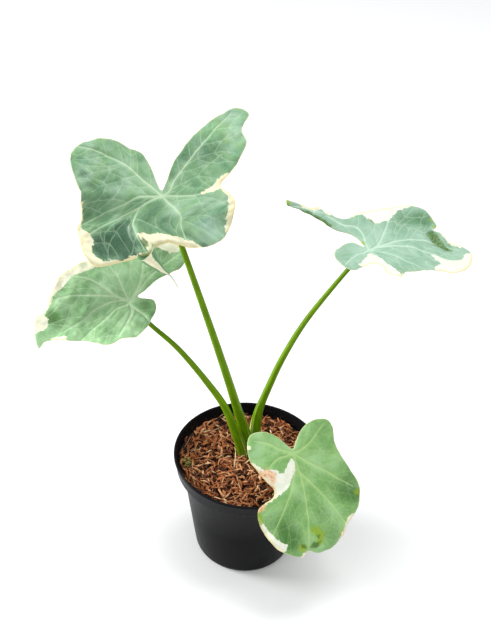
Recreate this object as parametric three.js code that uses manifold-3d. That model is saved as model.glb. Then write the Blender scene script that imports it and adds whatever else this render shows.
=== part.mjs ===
// A potted alocasia in millimetres, +Z up, with its origin on the surface under the middle of the pot.
// Four leaves rise from one corm. Each blade is a curved sheet given by a midrib, a cross-section
// and a flat outline, and each petiole is a tapered tube with two sheath wings near its foot.

import * as THREE from 'three';
import { mergeVertices } from 'three/addons/utils/BufferGeometryUtils.js';
import Module from 'manifold-3d';

const wasm = await Module();
wasm.setup();

const GAP = 0.35;

// Pot
const POT_HEIGHT = 125;
const RIM_RADIUS = 75;
const BAND_HEIGHT = 17.5;
const BAND_FOOT_RADIUS = 72;
const WALL_TOP_RADIUS = 66;
const WALL_FOOT_RADIUS = 50.2;
const WALL_FOOT_HEIGHT = 7;
const BASE_FLAT_RADIUS = 44;
const WALL = 1.6;
const BASE_THICKNESS = 2.2;
const POT_SIDES = 40;
const DRAIN_COUNT = 8;
const DRAIN_RADIUS = 4.5;
const DRAIN_CIRCLE = 31;

// Soil and bark
const SOIL_TOP = 104;
const BARK_EDGE_HEIGHT = 113;
const BARK_CENTRE_HEIGHT = 115.5;
const BARK_SEED = 7681;
const BARK_RELIEF = 1.1;
const SHRED_COUNT = 105;
const SHRED_LENGTH = [11, 24];
const SHRED_WIDTH = [3, 5.5];
const SHRED_THICKNESS = 1.9;

// Corm
const CORM_CENTRE = [3, 15];
const CORM_RADIUS = 18;
const CORM_DEPTH = 30;
const ROOT_COUNT = 6;
const ROOT_LENGTH = 42;
const ROOT_RADIUS = 2;

// Leaves
const BLADE_THICKNESS = 0.8;
const RIB_HEIGHT = 1.5;
const NECK_LENGTH = 7;
const RINGS = [0.12, 0.34, 0.57, 0.8, 0.93, 1];
const SHEATH_LENGTH = 75;

// A lobe lifts only away from the hub: from the first distance on, and fully from the second.
const LIFT_START = 28;
const LIFT_FULL = 45;

const colour = (hex, roughness) => new THREE.MeshStandardMaterial({ color: hex, roughness, metalness: 0 });

// A hub is where the petiole meets the blade. The heading is the compass angle of the tip, and the
// pitch its slope at the hub. Droop and rise bend the midrib, in degrees per 100 mm, before and behind
// the hub. Fold and cup hold [v, left, right]: the slope of each half at the midrib and how much it
// curls up over 100 mm. Sway holds [v, sideways shift of the midrib] and lift holds [angle round the
// hub, height at 100 mm]. An outline is in flat millimetres, u to the right and v towards the tip,
// from the sinus round by the left side. Veins are angles round the hub.
const leaves = {
  upper_left: {
    hub: [-90.6, 20, 408], heading: -86, pitch: -34, roll: 0, droop: 16, rise: -4,
    fold: [[-60, 6, 6], [0, 6, 6], [22, 16, -30], [60, 16, -36]],
    cup: [[-60, 6, 6], [0, 4, 4], [26, -44, 62], [60, -44, 72]],
    sway: [[0, 0], [27, 20], [62, 4], [110, -20]],
    lift: [[-180, 0], [0, 0]],
    outline: [
      [0, -6], [-4, -15], [-10, -33], [-29, -61], [-51, -77], [-66, -83], [-76, -77], [-70, -61],
      [-74, -48], [-65, -28], [-58, -18], [-51, -9], [-60, 0], [-76, 16], [-81, 24], [-76, 34],
      [-58, 44], [-38, 47], [-20, 43], [-8, 46], [1, 52], [15, 54], [35, 58], [56, 61], [62, 52],
      [56, 36], [56, 20], [67, 6], [76, -12], [80, -32], [72, -43], [48, -51], [32, -45],
      [19, -40], [12, -31], [5, -14],
    ],
    veins: [0, -32, -62, -95, -138, 32, 60, 88, 125],
    spokes: 74,
    petiole: {
      points: [[0.3, 17, 102], [-2, 17.5, 122], [-8, 17.5, 145], [-18.6, 17, 184], [-36.3, 17, 244],
        [-53.5, 17.5, 299.4], [-70.1, 18.3, 351.6], [-82.2, 19.1, 389.6], [-90.4, 20, 407.4]],
      footRadius: 5.6, topRadius: 2.6, wing: 1.6,
    },
  },
  lower_left: {
    hub: [-118.4, 8, 300], heading: 213, pitch: -8, roll: -12, droop: 14, rise: 8,
    fold: [[-60, 14, 14], [0, 14, 14], [60, 10, 10]],
    cup: [[-60, -12, -12], [0, -8, -8], [60, -8, -8]],
    sway: [[0, 0], [1, 0]],
    lift: [[-180, 0], [0, 0]],
    outline: [
      [1, -9], [-9, -19], [-22, -17], [-31, -9], [-40, 2], [-46, 14], [-40, 27], [-40, 39],
      [-31, 46], [-19, 57], [-14, 66], [-5, 76], [0, 85], [-3, 93], [6, 92], [20, 86], [27, 79],
      [28, 71], [36, 64], [46, 54], [55, 40], [56, 18], [56, -8], [59, -28], [54, -50], [42, -62],
      [29, -69], [16, -67], [10, -58], [10, -48], [9, -32], [4, -18],
    ],
    veins: [0, -26, -52, -85, -125, 24, 48, 78, 112, 148],
    spokes: 56,
    petiole: {
      points: [[-4.7, 7, 102], [-7.5, 7, 120], [-15, 7.1, 145], [-25.7, 7.3, 176.3], [-43.2, 7.4, 206],
        [-73.7, 7.6, 248.5], [-99.6, 7.7, 275.2], [-111.6, 7.9, 289.5], [-118.2, 8, 299.2]],
      footRadius: 5.2, topRadius: 2.2, wing: 1.6,
    },
  },
  right: {
    hub: [97.5, 48, 345], heading: 4, pitch: -2, roll: 0, droop: 8, rise: 16,
    fold: [[-60, 20, 16], [0, 16, 16], [60, 12, 12]],
    cup: [[-60, 0, -10], [0, -8, -10], [60, -8, -8]],
    sway: [[0, 0], [1, 0]],
    lift: [[-180, 40], [-165, 40], [-150, 26], [-138, 9], [-120, 0], [0, 0]],
    outline: [
      [-4, -4], [-15, -12], [-19, -25], [-20, -43], [-15, -62], [-5, -82], [-2, -90], [-7, -91],
      [-21, -72], [-34, -53], [-38, -40], [-34, -30], [-37, -18], [-46, -8], [-50, 5], [-55, 19],
      [-62, 32], [-67, 50], [-63, 60], [-50, 66], [-42, 69], [-35, 65], [-31, 72], [-22, 78],
      [-19, 90], [-8, 99], [4, 97], [22, 87], [31, 75], [31, 62], [39, 38], [44, 28], [55, 19],
      [52, 11], [38, 6], [35, -1], [39, -8], [51, -22], [47, -30], [25, -35], [8, -32], [-5, -23],
      [-8, -14],
    ],
    veins: [0, -24, -50, -80, -152, 24, 60, 118, 160],
    spokes: 60,
    petiole: {
      points: [[8.1, 25, 102], [7, 25.5, 120], [6.5, 26.5, 139], [8.6, 28, 161], [16.6, 30, 191.2],
        [26, 33.5, 219.8], [44, 37.1, 263.1], [67.9, 41.5, 305.1], [87, 45.6, 333.8], [97.2, 48, 344.2]],
      footRadius: 5, topRadius: 2.2, wing: 3.2,
    },
  },
  front: {
    hub: [41, -39, 166], heading: -74, pitch: -44, roll: 0, droop: 12, rise: 10,
    fold: [[-60, 8, 8], [0, 8, 8], [60, 6, 6]],
    cup: [[-60, -10, -10], [0, -8, -8], [60, -8, -8]],
    sway: [[0, 0], [1, 0]],
    lift: [[-180, 0], [0, 0]],
    outline: [
      [-1, -4], [-5, -11], [-10, -19], [-18, -26], [-27, -29], [-38, -27], [-42, -20], [-42, -5],
      [-46, 8], [-53, 22], [-60, 38], [-60, 50], [-55, 62], [-44, 75], [-38, 86], [-28, 95],
      [-14, 98], [-5, 96], [1, 100], [14, 96], [27, 87], [37, 72], [42, 58], [41, 48], [34, 43],
      [25, 39], [23, 33], [32, 20], [43, 2], [44, -12], [40, -22], [28, -24], [14, -18], [6, -10],
    ],
    veins: [-4, -30, -52, -80, -122, 26, 70, 112],
    spokes: 56,
    petiole: {
      points: [[10, 10, 102], [10.5, 9, 116], [14, 3, 132], [22, -9, 149], [32, -24, 161],
        [40.6, -38, 165.6]],
      footRadius: 4.2, topRadius: 2.2, wing: 1.2,
    },
  },
};

// Mathematics

const radians = THREE.MathUtils.degToRad;

function random(seed) {
  let state = seed;
  return () => {
    state = (state * 1664525 + 1013904223) % 4294967296;
    return state / 4294967296;
  };
}

// The value of a column at x, with a smooth step from each row of the list to the next.
function eased(rows, x, column) {
  let value = rows[0][column];
  for (let i = 0; i + 1 < rows.length; i++) {
    if (x < rows[i][0]) break;
    const step = THREE.MathUtils.smoothstep(x, rows[i][0], rows[i + 1][0]);
    value = THREE.MathUtils.lerp(rows[i][column], rows[i + 1][column], step);
  }
  return value;
}

// How far a line that starts at a slope and curls steadily has gone along and up after a length.
function arc(slope, curl, length) {
  const turn = Math.abs(curl) < 1e-7 ? 1e-7 : curl;
  return {
    along: (Math.sin(slope + turn * length) - Math.sin(slope)) / turn,
    up: (Math.cos(slope) - Math.cos(slope + turn * length)) / turn,
  };
}

// Solids

// One closed geometry with shared vertices and its faces pointing out.
function closed(geometry) {
  geometry.deleteAttribute('normal');
  geometry.deleteAttribute('uv');
  const merged = mergeVertices(geometry, 1e-4);
  const corners = merged.index.array;
  const kept = [];
  let volume = 0;
  const [a, b, c] = [new THREE.Vector3(), new THREE.Vector3(), new THREE.Vector3()];
  for (let i = 0; i < corners.length; i += 3) {
    const [p, q, r] = [corners[i], corners[i + 1], corners[i + 2]];
    if (p === q || q === r || r === p) continue;
    kept.push(p, q, r);
    a.fromBufferAttribute(merged.attributes.position, p);
    b.fromBufferAttribute(merged.attributes.position, q);
    c.fromBufferAttribute(merged.attributes.position, r);
    volume += a.dot(b.cross(c));
  }
  merged.setIndex(volume < 0 ? kept.reverse() : kept);
  return merged;
}

function solid(geometry) {
  const mesh = closed(geometry);
  return new wasm.Manifold(new wasm.Mesh({
    numProp: 3,
    vertProperties: new Float32Array(mesh.attributes.position.array),
    triVerts: new Uint32Array(mesh.index.array),
  }));
}

// The largest body of a solid, as a geometry.
function geometryOf(body) {
  const pieces = body.decompose().sort((p, q) => q.volume() - p.volume());
  const mesh = pieces[0].getMesh();
  const geometry = new THREE.BufferGeometry();
  geometry.setAttribute('position', new THREE.BufferAttribute(mesh.vertProperties, 3));
  geometry.setIndex(new THREE.BufferAttribute(mesh.triVerts, 1));
  return geometry;
}

// A closed skin over rings of equally many points, with a point at each end.
function skin(rings, start, end) {
  const sides = rings[0].length;
  const points = [start, ...rings.flat(), end];
  const last = points.length - 1;
  const triangles = [];
  for (let k = 0; k < sides; k++) {
    const next = (k + 1) % sides;
    triangles.push(0, 1 + next, 1 + k);
    for (let j = 0; j + 1 < rings.length; j++) {
      const here = 1 + j * sides;
      const above = here + sides;
      triangles.push(here + k, here + next, above + k);
      triangles.push(here + next, above + next, above + k);
    }
    const top = 1 + (rings.length - 1) * sides;
    triangles.push(last, top + k, top + next);
  }
  const geometry = new THREE.BufferGeometry();
  const numbers = points.flatMap((p) => p.toArray());
  geometry.setAttribute('position', new THREE.Float32BufferAttribute(numbers, 3));
  geometry.setIndex(triangles);
  return geometry;
}

// A profile of [radius, height] turned round the Z axis.
function turned(profile, sides) {
  const geometry = new THREE.LatheGeometry(profile.map(([r, z]) => new THREE.Vector2(r, z)), sides);
  return geometry.rotateX(Math.PI / 2);
}

// Pot

const wallRadius = (z) => THREE.MathUtils.mapLinear(
  z, WALL_FOOT_HEIGHT, POT_HEIGHT - BAND_HEIGHT, WALL_FOOT_RADIUS, WALL_TOP_RADIUS,
);

function roundedFoot(flatRadius, floor, wallX, wallZ) {
  const curve = new THREE.QuadraticBezierCurve(
    new THREE.Vector2(flatRadius, floor),
    new THREE.Vector2(wallX - 0.6, floor),
    new THREE.Vector2(wallX, wallZ),
  );
  return curve.getPoints(3).map((p) => [p.x, p.y]);
}

function potSolid() {
  const bandFoot = POT_HEIGHT - BAND_HEIGHT;
  const innerFoot = roundedFoot(
    BASE_FLAT_RADIUS - 1, BASE_THICKNESS, WALL_FOOT_RADIUS - WALL, WALL_FOOT_HEIGHT,
  );
  const profile = [
    [0, 0],
    ...roundedFoot(BASE_FLAT_RADIUS, 0, WALL_FOOT_RADIUS, WALL_FOOT_HEIGHT),
    [WALL_TOP_RADIUS, bandFoot],
    [BAND_FOOT_RADIUS - 0.8, bandFoot],
    [BAND_FOOT_RADIUS, bandFoot + 0.8],
    [RIM_RADIUS - 1.3, POT_HEIGHT - 3.4],
    [RIM_RADIUS, POT_HEIGHT - 2.6],
    [RIM_RADIUS, POT_HEIGHT - 0.7],
    [RIM_RADIUS - 0.7, POT_HEIGHT],
    [RIM_RADIUS - 2.2, POT_HEIGHT],
    [RIM_RADIUS - 2.9, POT_HEIGHT - 0.7],
    [RIM_RADIUS - 3, POT_HEIGHT - 4],
    [BAND_FOOT_RADIUS - WALL, bandFoot + 2.4],
    [WALL_TOP_RADIUS - WALL, bandFoot - 0.4],
    ...innerFoot.reverse(),
    [0, BASE_THICKNESS],
  ];
  let pot = solid(turned(profile, POT_SIDES));
  for (let i = 0; i < DRAIN_COUNT; i++) {
    const angle = ((i + 0.5) / DRAIN_COUNT) * 2 * Math.PI;
    const drain = new THREE.CylinderGeometry(DRAIN_RADIUS, DRAIN_RADIUS, 4 * BASE_THICKNESS, 12);
    drain.rotateX(Math.PI / 2);
    drain.translate(DRAIN_CIRCLE * Math.cos(angle), DRAIN_CIRCLE * Math.sin(angle), 0);
    pot = pot.subtract(solid(drain));
  }
  return pot;
}

// Corm and soil

// Each coat thickens the corm and its roots, so a thicker one cuts their hole.
function cormSolid(coat) {
  const outline = new THREE.SplineCurve([
    new THREE.Vector2(0, -CORM_DEPTH - coat),
    new THREE.Vector2(CORM_RADIUS * 0.62 + coat, -CORM_DEPTH * 0.86),
    new THREE.Vector2(CORM_RADIUS * 0.96 + coat, -CORM_DEPTH * 0.5),
    new THREE.Vector2(CORM_RADIUS + coat, -CORM_DEPTH * 0.16),
    new THREE.Vector2(CORM_RADIUS * 0.94 + coat, coat * 4),
  ]);
  const profile = outline.getPoints(6).map((p) => [Math.max(p.x, 0), p.y]);
  profile[0][0] = 0;
  profile.push([0, coat * 4]);
  let corm = solid(turned(profile, 16));
  for (let i = 0; i < ROOT_COUNT; i++) {
    const angle = (i / ROOT_COUNT) * 2 * Math.PI + 0.4;
    const out = new THREE.Vector3(Math.cos(angle), Math.sin(angle), 0);
    const path = new THREE.CatmullRomCurve3([
      out.clone().multiplyScalar(CORM_RADIUS * 0.5).setZ(-CORM_DEPTH * 0.6),
      out.clone().multiplyScalar(CORM_RADIUS * 1.25).setZ(-CORM_DEPTH * 0.8 - 3),
      out.clone().multiplyScalar(CORM_RADIUS * 1.5).setZ(-CORM_DEPTH * 0.8 - ROOT_LENGTH * 0.5),
      out.clone().multiplyScalar(CORM_RADIUS * 1.3).setZ(-CORM_DEPTH * 0.8 - ROOT_LENGTH),
    ]);
    const rings = [];
    for (let j = 0; j <= 4; j++) {
      const centre = path.getPointAt(j / 4);
      const along = path.getTangentAt(j / 4);
      const side = new THREE.Vector3().crossVectors(along, out).normalize();
      const across = new THREE.Vector3().crossVectors(side, along);
      const radius = ROOT_RADIUS * (1 - 0.18 * j) + coat;
      rings.push([0, 0.4, 0.8, 1.2, 1.6].map((turn) => centre.clone()
        .addScaledVector(side, radius * Math.cos(turn * Math.PI))
        .addScaledVector(across, radius * Math.sin(turn * Math.PI))));
    }
    const tip = path.getPointAt(1).addScaledVector(path.getTangentAt(1), coat);
    corm = corm.add(solid(skin(rings, path.getPointAt(0), tip)));
  }
  return corm.translate([CORM_CENTRE[0], CORM_CENTRE[1], SOIL_TOP]);
}

function soilSolid() {
  const inside = WALL + GAP;
  const floor = BASE_THICKNESS + GAP;
  const profile = [
    [0, floor],
    ...roundedFoot(BASE_FLAT_RADIUS - 2, floor, WALL_FOOT_RADIUS - inside, WALL_FOOT_HEIGHT + 1),
    [wallRadius(SOIL_TOP) - inside, SOIL_TOP],
    [0, SOIL_TOP],
  ];
  return solid(turned(profile, 36)).subtract(cormSolid(GAP));
}

// Petioles

// The outline of a petiole a distance up from its foot. The first point faces the other stems.
// The points beside it are the sheath wings, which fade out upwards.
const PETIOLE_SIDES = 10;

function petioleRing(petiole, path, inward, distance, coat) {
  const share = distance / path.getLength();
  const centre = path.getPointAt(share);
  const along = path.getTangentAt(share);
  const side = new THREE.Vector3().crossVectors(along, inward).normalize();
  const front = new THREE.Vector3().crossVectors(side, along);
  const taper = Math.min(1, share * 1.15) ** 0.75;
  const body = THREE.MathUtils.lerp(petiole.footRadius, petiole.topRadius, taper);
  const fade = THREE.MathUtils.smoothstep(distance, 0.3 * SHEATH_LENGTH, SHEATH_LENGTH);
  const wing = petiole.wing * (1 - fade);
  const ring = [];
  for (let k = 0; k < PETIOLE_SIDES; k++) {
    const beside = k === 1 || k === PETIOLE_SIDES - 1;
    const radius = body + coat + (beside ? wing : 0) - (k === 0 ? 0.16 * body : 0);
    const angle = (k / PETIOLE_SIDES) * 2 * Math.PI;
    ring.push(centre.clone()
      .addScaledVector(front, radius * Math.cos(angle))
      .addScaledVector(side, radius * Math.sin(angle)));
  }
  return ring;
}

function petioleSolid(leaf, from, to, steps, coat) {
  const { petiole } = leaf;
  const path = new THREE.CatmullRomCurve3(petiole.points.map((p) => new THREE.Vector3(...p)));
  const foot = petiole.points[0];
  const inward = new THREE.Vector3(foot[0] - leaf.hub[0], foot[1] - leaf.hub[1], 0).normalize();
  const rings = [];
  for (let j = 0; j <= steps; j++) {
    rings.push(petioleRing(petiole, path, inward, THREE.MathUtils.lerp(from, to, j / steps), coat));
  }
  const length = path.getLength();
  return solid(skin(rings, path.getPointAt(from / length), path.getPointAt(to / length)));
}

function petioleLength(leaf) {
  return new THREE.CatmullRomCurve3(leaf.petiole.points.map((p) => new THREE.Vector3(...p))).getLength();
}

// Blades

// The place in space of a flat point of a blade: along the bent midrib, then across its own half.
function bladePoint(leaf, u, v) {
  const heading = radians(leaf.heading);
  const roll = radians(leaf.roll);
  const pitch = radians(leaf.pitch);
  const ahead = new THREE.Vector3(Math.cos(heading), Math.sin(heading), 0);
  const level = new THREE.Vector3(Math.sin(heading), -Math.cos(heading), 0);
  const right = level.clone().multiplyScalar(Math.cos(roll)).setZ(-Math.sin(roll));
  const upright = level.clone().multiplyScalar(Math.sin(roll)).setZ(Math.cos(roll));
  const bend = radians(v > 0 ? -leaf.droop : leaf.rise) / 100;
  const midrib = arc(pitch, bend, v);
  const slope = pitch + bend * v;
  const half = u < 0 ? 1 : 2;
  const fold = radians(eased(leaf.fold, v, half));
  const curl = radians(eased(leaf.cup, v, half)) / 100;
  const across = arc(fold, curl, Math.abs(u));
  const aside = Math.sign(u) * across.along + eased(leaf.sway, v, 1);
  const angle = THREE.MathUtils.radToDeg(Math.atan2(u, v));
  const reach = Math.hypot(u, v);
  const lift = eased(leaf.lift, angle, 1) * THREE.MathUtils.smoothstep(reach, LIFT_START, LIFT_FULL);
  const height = across.up + lift * (reach / 100) ** 2;
  return new THREE.Vector3(...leaf.hub)
    .addScaledVector(ahead, midrib.along - height * Math.sin(slope))
    .addScaledVector(upright, midrib.up + height * Math.cos(slope))
    .addScaledVector(right, aside);
}

function bladeNormal(leaf, u, v) {
  const step = 0.5;
  const alongU = bladePoint(leaf, u + step, v).sub(bladePoint(leaf, u - step, v));
  const alongV = bladePoint(leaf, u, v + step).sub(bladePoint(leaf, u, v - step));
  return alongU.cross(alongV).normalize();
}

// The outline as [angle, radius] pairs round the hub, evenly spaced along the edge, with the spoke
// nearest to each vein turned onto it.
function outlineSpokes(leaf) {
  const edge = new THREE.CatmullRomCurve3(
    leaf.outline.map(([u, v]) => new THREE.Vector3(u, v, 0)), true, 'centripetal',
  );
  const spokes = edge.getSpacedPoints(leaf.spokes).slice(0, -1).map((p) => ({
    angle: Math.atan2(p.x, p.y), radius: Math.hypot(p.x, p.y), rib: 0,
  }));
  for (let i = 1; i < spokes.length; i++) {
    while (spokes[i].angle < spokes[i - 1].angle - Math.PI) spokes[i].angle += 2 * Math.PI;
    while (spokes[i].angle > spokes[i - 1].angle + Math.PI) spokes[i].angle -= 2 * Math.PI;
  }
  for (const vein of leaf.veins) {
    const off = (spoke) => Math.abs(THREE.MathUtils.euclideanModulo(
      spoke.angle - radians(vein) + Math.PI, 2 * Math.PI,
    ) - Math.PI);
    spokes.reduce((best, spoke) => (off(spoke) < off(best) ? spoke : best)).rib = 1;
  }
  return spokes;
}

// Angles for the inner rings: like the outline's, but always going forward by a small step, so that
// an edge that leans over the sinus doesn't fold the sheet.
function innerAngles(spokes) {
  const step = radians(0.6);
  const rising = spokes.map((spoke) => spoke.angle);
  const falling = [...rising];
  for (let i = 1; i < rising.length; i++) rising[i] = Math.max(rising[i], rising[i - 1] + step);
  for (let i = falling.length - 2; i >= 0; i--) falling[i] = Math.min(falling[i], falling[i + 1] - step);
  return rising.map((angle, i) => (angle + falling[i]) / 2);
}

function bladeSheet(leaf) {
  const spokes = outlineSpokes(leaf);
  const inner = innerAngles(spokes);
  const count = spokes.length;
  const tops = [];
  const bottoms = [];
  const place = (u, v, rib) => {
    const middle = bladePoint(leaf, u, v);
    const normal = bladeNormal(leaf, u, v);
    tops.push(middle.clone().addScaledVector(normal, BLADE_THICKNESS / 2));
    bottoms.push(middle.addScaledVector(normal, -BLADE_THICKNESS / 2 - rib));
  };
  place(0, 0, RIB_HEIGHT);
  for (const share of RINGS) {
    spokes.forEach((spoke, i) => {
      const angle = THREE.MathUtils.lerp(inner[i], spoke.angle, share ** 1.5);
      const radius = share * spoke.radius;
      place(radius * Math.sin(angle), radius * Math.cos(angle), spoke.rib * RIB_HEIGHT * (1 - share));
    });
  }
  const under = tops.length;
  const triangles = [];
  const both = (a, b, c) => {
    triangles.push(a, b, c);
    triangles.push(under + a, under + c, under + b);
  };
  for (let k = 0; k < count; k++) {
    const next = (k + 1) % count;
    both(0, 1 + next, 1 + k);
    for (let j = 0; j + 1 < RINGS.length; j++) {
      const here = 1 + j * count;
      const out = here + count;
      both(here + k, here + next, out + k);
      both(here + next, out + next, out + k);
    }
    const rim = 1 + (RINGS.length - 1) * count;
    triangles.push(rim + next, under + rim + next, rim + k);
    triangles.push(under + rim + next, under + rim + k, rim + k);
  }
  const geometry = new THREE.BufferGeometry();
  const points = [...tops, ...bottoms].flatMap((p) => p.toArray());
  geometry.setAttribute('position', new THREE.Float32BufferAttribute(points, 3));
  geometry.setIndex(triangles);
  return geometry;
}

// The pinched tip of the upper left leaf: a small funnel with an open mouth and a thin tail.
const FUNNEL = {
  path: [[-100, -18, 380], [-94, -22, 373], [-85, -26, 364], [-78, -27, 357], [-72, -27, 346]],
  radii: [8.4, 6.8, 4, 1.7, 0.7],
  wall: 0.9,
};

function funnelSolid() {
  const path = new THREE.CatmullRomCurve3(FUNNEL.path.map((p) => new THREE.Vector3(...p)));
  const ring = (share, less) => {
    const centre = path.getPoint(share);
    const along = path.getTangent(share);
    const side = new THREE.Vector3(0, 1, 0).cross(along).normalize();
    const front = new THREE.Vector3().crossVectors(along, side);
    const at = share * (FUNNEL.radii.length - 1);
    const low = Math.min(Math.floor(at), FUNNEL.radii.length - 2);
    const radius = THREE.MathUtils.lerp(FUNNEL.radii[low], FUNNEL.radii[low + 1], at - low) - less;
    return Array.from({ length: 10 }, (_, k) => centre.clone()
      .addScaledVector(side, radius * Math.cos((k * Math.PI) / 5))
      .addScaledVector(front, 0.7 * radius * Math.sin((k * Math.PI) / 5)));
  };
  const outside = [1, 0.88, 0.75, 0.62, 0.5, 0.37, 0.25, 0.12, 0].map((share) => ring(share, 0));
  const inside = [0, 0.15, 0.3, 0.42].map((share) => ring(share, FUNNEL.wall));
  return solid(skin([...outside, ...inside], path.getPoint(1), path.getPoint(0.45)));
}

function bladeSolid(name, leaf) {
  const length = petioleLength(leaf);
  let blade = solid(bladeSheet(leaf)).add(petioleSolid(leaf, length - NECK_LENGTH, length, 2, 0));
  if (name === 'upper_left') blade = blade.add(funnelSolid());
  return blade;
}

// Bark

const barkHeight = (r, angle) => {
  const mound = THREE.MathUtils.lerp(BARK_CENTRE_HEIGHT, BARK_EDGE_HEIGHT, (r / RIM_RADIUS) ** 2);
  const bumps = Math.sin(r * 0.42 + 3 * angle) + Math.sin(r * 0.25 - 5 * angle + 1)
    + Math.sin(r * 0.1 + 7 * angle);
  return mound + (BARK_RELIEF / 3) * bumps;
};

// The bark's bed fills the pot above the soil, over the step inside the band.
function barkBed() {
  const sides = 32;
  const edge = BAND_FOOT_RADIUS - WALL - GAP;
  const profile = [
    [wallRadius(SOIL_TOP) - WALL - GAP, SOIL_TOP + GAP],
    [WALL_TOP_RADIUS - WALL - GAP, POT_HEIGHT - BAND_HEIGHT - 0.2],
    [edge, POT_HEIGHT - BAND_HEIGHT + 2.8],
  ];
  const circle = (r, height) => Array.from({ length: sides }, (_, k) => {
    const angle = (k / sides) * 2 * Math.PI;
    return new THREE.Vector3(r * Math.cos(angle), r * Math.sin(angle), height(r, angle));
  });
  const rings = profile.map(([r, z]) => circle(r, () => z));
  for (const share of [1, 0.7, 0.38]) rings.push(circle(edge * share, barkHeight));
  const bottom = new THREE.Vector3(0, 0, SOIL_TOP + GAP);
  return solid(skin(rings, bottom, new THREE.Vector3(0, 0, barkHeight(0, 0))));
}

// One shred is a sliver, pointed at both ends, that lies on the bed with its lower half sunk in.
function shred(draw) {
  const length = THREE.MathUtils.lerp(...SHRED_LENGTH, draw());
  const width = THREE.MathUtils.lerp(...SHRED_WIDTH, draw());
  const sliver = new THREE.OctahedronGeometry(1).scale(length / 2, width / 2, SHRED_THICKNESS);
  const reach = BAND_FOOT_RADIUS - WALL - length * 0.4;
  const r = reach * Math.sqrt(draw());
  const angle = draw() * 2 * Math.PI;
  const [turn, tilt] = [draw() * 2 * Math.PI, 0.3 * (draw() - 0.5)];
  return sliver.rotateY(tilt).rotateZ(turn)
    .translate(r * Math.cos(angle), r * Math.sin(angle), barkHeight(r, angle) + 0.2);
}

function barkSolid(stems) {
  const draw = random(BARK_SEED);
  let bark = barkBed();
  for (let i = 0; i < SHRED_COUNT; i++) bark = bark.add(solid(shred(draw)));
  const inside = BAND_FOOT_RADIUS - WALL - GAP;
  const bound = turned([[0, 0], [WALL_TOP_RADIUS, 0], [inside, POT_HEIGHT - BAND_HEIGHT + 2.8],
    [inside, POT_HEIGHT], [0, POT_HEIGHT]], POT_SIDES);
  bark = bark.intersect(solid(bound));
  for (const stem of stems) bark = bark.subtract(stem);
  return bark;
}

// The plant in its pot

const plant = new THREE.Group();

function addPart(name, body, material) {
  const mesh = new THREE.Mesh(geometryOf(body), material);
  mesh.name = name;
  plant.add(mesh);
}

const stemGreen = colour(0x5a7d14, 0.45);
const bladeGreen = {
  upper_left: colour(0x86b285, 0.55),
  lower_left: colour(0x93bd8c, 0.55),
  right: colour(0xb3d6c4, 0.55),
  front: colour(0x8ebb74, 0.5),
};

addPart('pot', potSolid(), colour(0x1c1b1f, 0.5));
addPart('potting_mix', soilSolid(), colour(0x2b1f18, 0.95));
addPart('corm_with_roots', cormSolid(0), colour(0x8a6b4a, 0.8));

// Stems end level on the corm and nest at their feet: each one is cut back from those placed before it.
const belowStems = solid(new THREE.BoxGeometry(100, 100, 20).translate(0, 0, SOIL_TOP + GAP - 10));
const coated = [];
for (const name of ['lower_left', 'upper_left', 'right', 'front']) {
  const leaf = leaves[name];
  const top = petioleLength(leaf) - NECK_LENGTH - GAP;
  const steps = Math.round(top / 16);
  let stem = petioleSolid(leaf, 0, top, steps, 0).subtract(belowStems);
  for (const other of coated) stem = stem.subtract(other);
  coated.push(petioleSolid(leaf, 0, top, steps, GAP));
  addPart(`petiole_${name}`, stem, stemGreen);
  addPart(`blade_${name}`, bladeSolid(name, leaf), bladeGreen[name]);
}
addPart('bark_mulch', barkSolid(coated), colour(0x87583b, 0.9));

export default plant;
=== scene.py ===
# %% [markdown]
# # A potted alocasia
# A black nursery pot holds a corm under shredded bark, and four broad leaves rise from it on long
# petioles. The solid model is loaded first. It is the frame: it fixes every size and place, and the
# pieces made here stand in for its plain solids with finer shapes and real finishes.

# %% Load the frame
import math

import bpy
import numpy as np
from mathutils import Matrix, Vector
from mathutils.geometry import delaunay_2d_cdt


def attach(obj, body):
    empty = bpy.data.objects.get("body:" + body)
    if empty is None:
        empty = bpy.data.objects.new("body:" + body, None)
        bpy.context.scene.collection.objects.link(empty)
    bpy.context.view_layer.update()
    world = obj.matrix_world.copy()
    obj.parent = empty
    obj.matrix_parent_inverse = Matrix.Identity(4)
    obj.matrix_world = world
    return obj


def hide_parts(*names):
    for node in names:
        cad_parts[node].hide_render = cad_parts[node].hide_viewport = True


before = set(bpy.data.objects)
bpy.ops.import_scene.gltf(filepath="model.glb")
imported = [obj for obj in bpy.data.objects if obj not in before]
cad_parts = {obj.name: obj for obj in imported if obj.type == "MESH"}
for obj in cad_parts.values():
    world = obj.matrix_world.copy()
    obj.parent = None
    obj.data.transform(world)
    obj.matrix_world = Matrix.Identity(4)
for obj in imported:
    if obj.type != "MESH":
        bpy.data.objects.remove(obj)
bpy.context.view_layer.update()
MM = 0.001

# %% [markdown]
# ## Camera
# The plant is seen from the front and well above, by a camera that leans a little to one side. A pixel
# of the picture is about a millimetre at the pot, so the distance in millimetres is close to the focal
# length in pixels.

# %% Camera
PICTURE = (491, 636)
FOCAL_PIXELS = 1200
EYE = Vector((-0.0115, -0.8617, 0.9709))
LOOK_DOWN = math.radians(38.1)
LEAN = math.radians(3.5)

lens = bpy.data.cameras.new("camera")
lens.sensor_width = 36
lens.lens = lens.sensor_width * FOCAL_PIXELS / PICTURE[1]
camera = bpy.data.objects.new("camera", lens)
turn = Matrix.Rotation(math.pi / 2 - LOOK_DOWN, 4, "X") @ Matrix.Rotation(LEAN, 4, "Z")
camera.matrix_world = Matrix.Translation(EYE) @ turn
bpy.context.collection.objects.link(camera)
bpy.context.scene.camera = camera
print("camera lens", round(lens.lens, 1), "mm")

# %% [markdown]
# ## A few words for building objects
# Operators act on what is selected, so each piece is picked out before it is worked on. Two round
# bodies, the pot and the bed under the bark, grow in the same way, so one function grows both.

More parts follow.
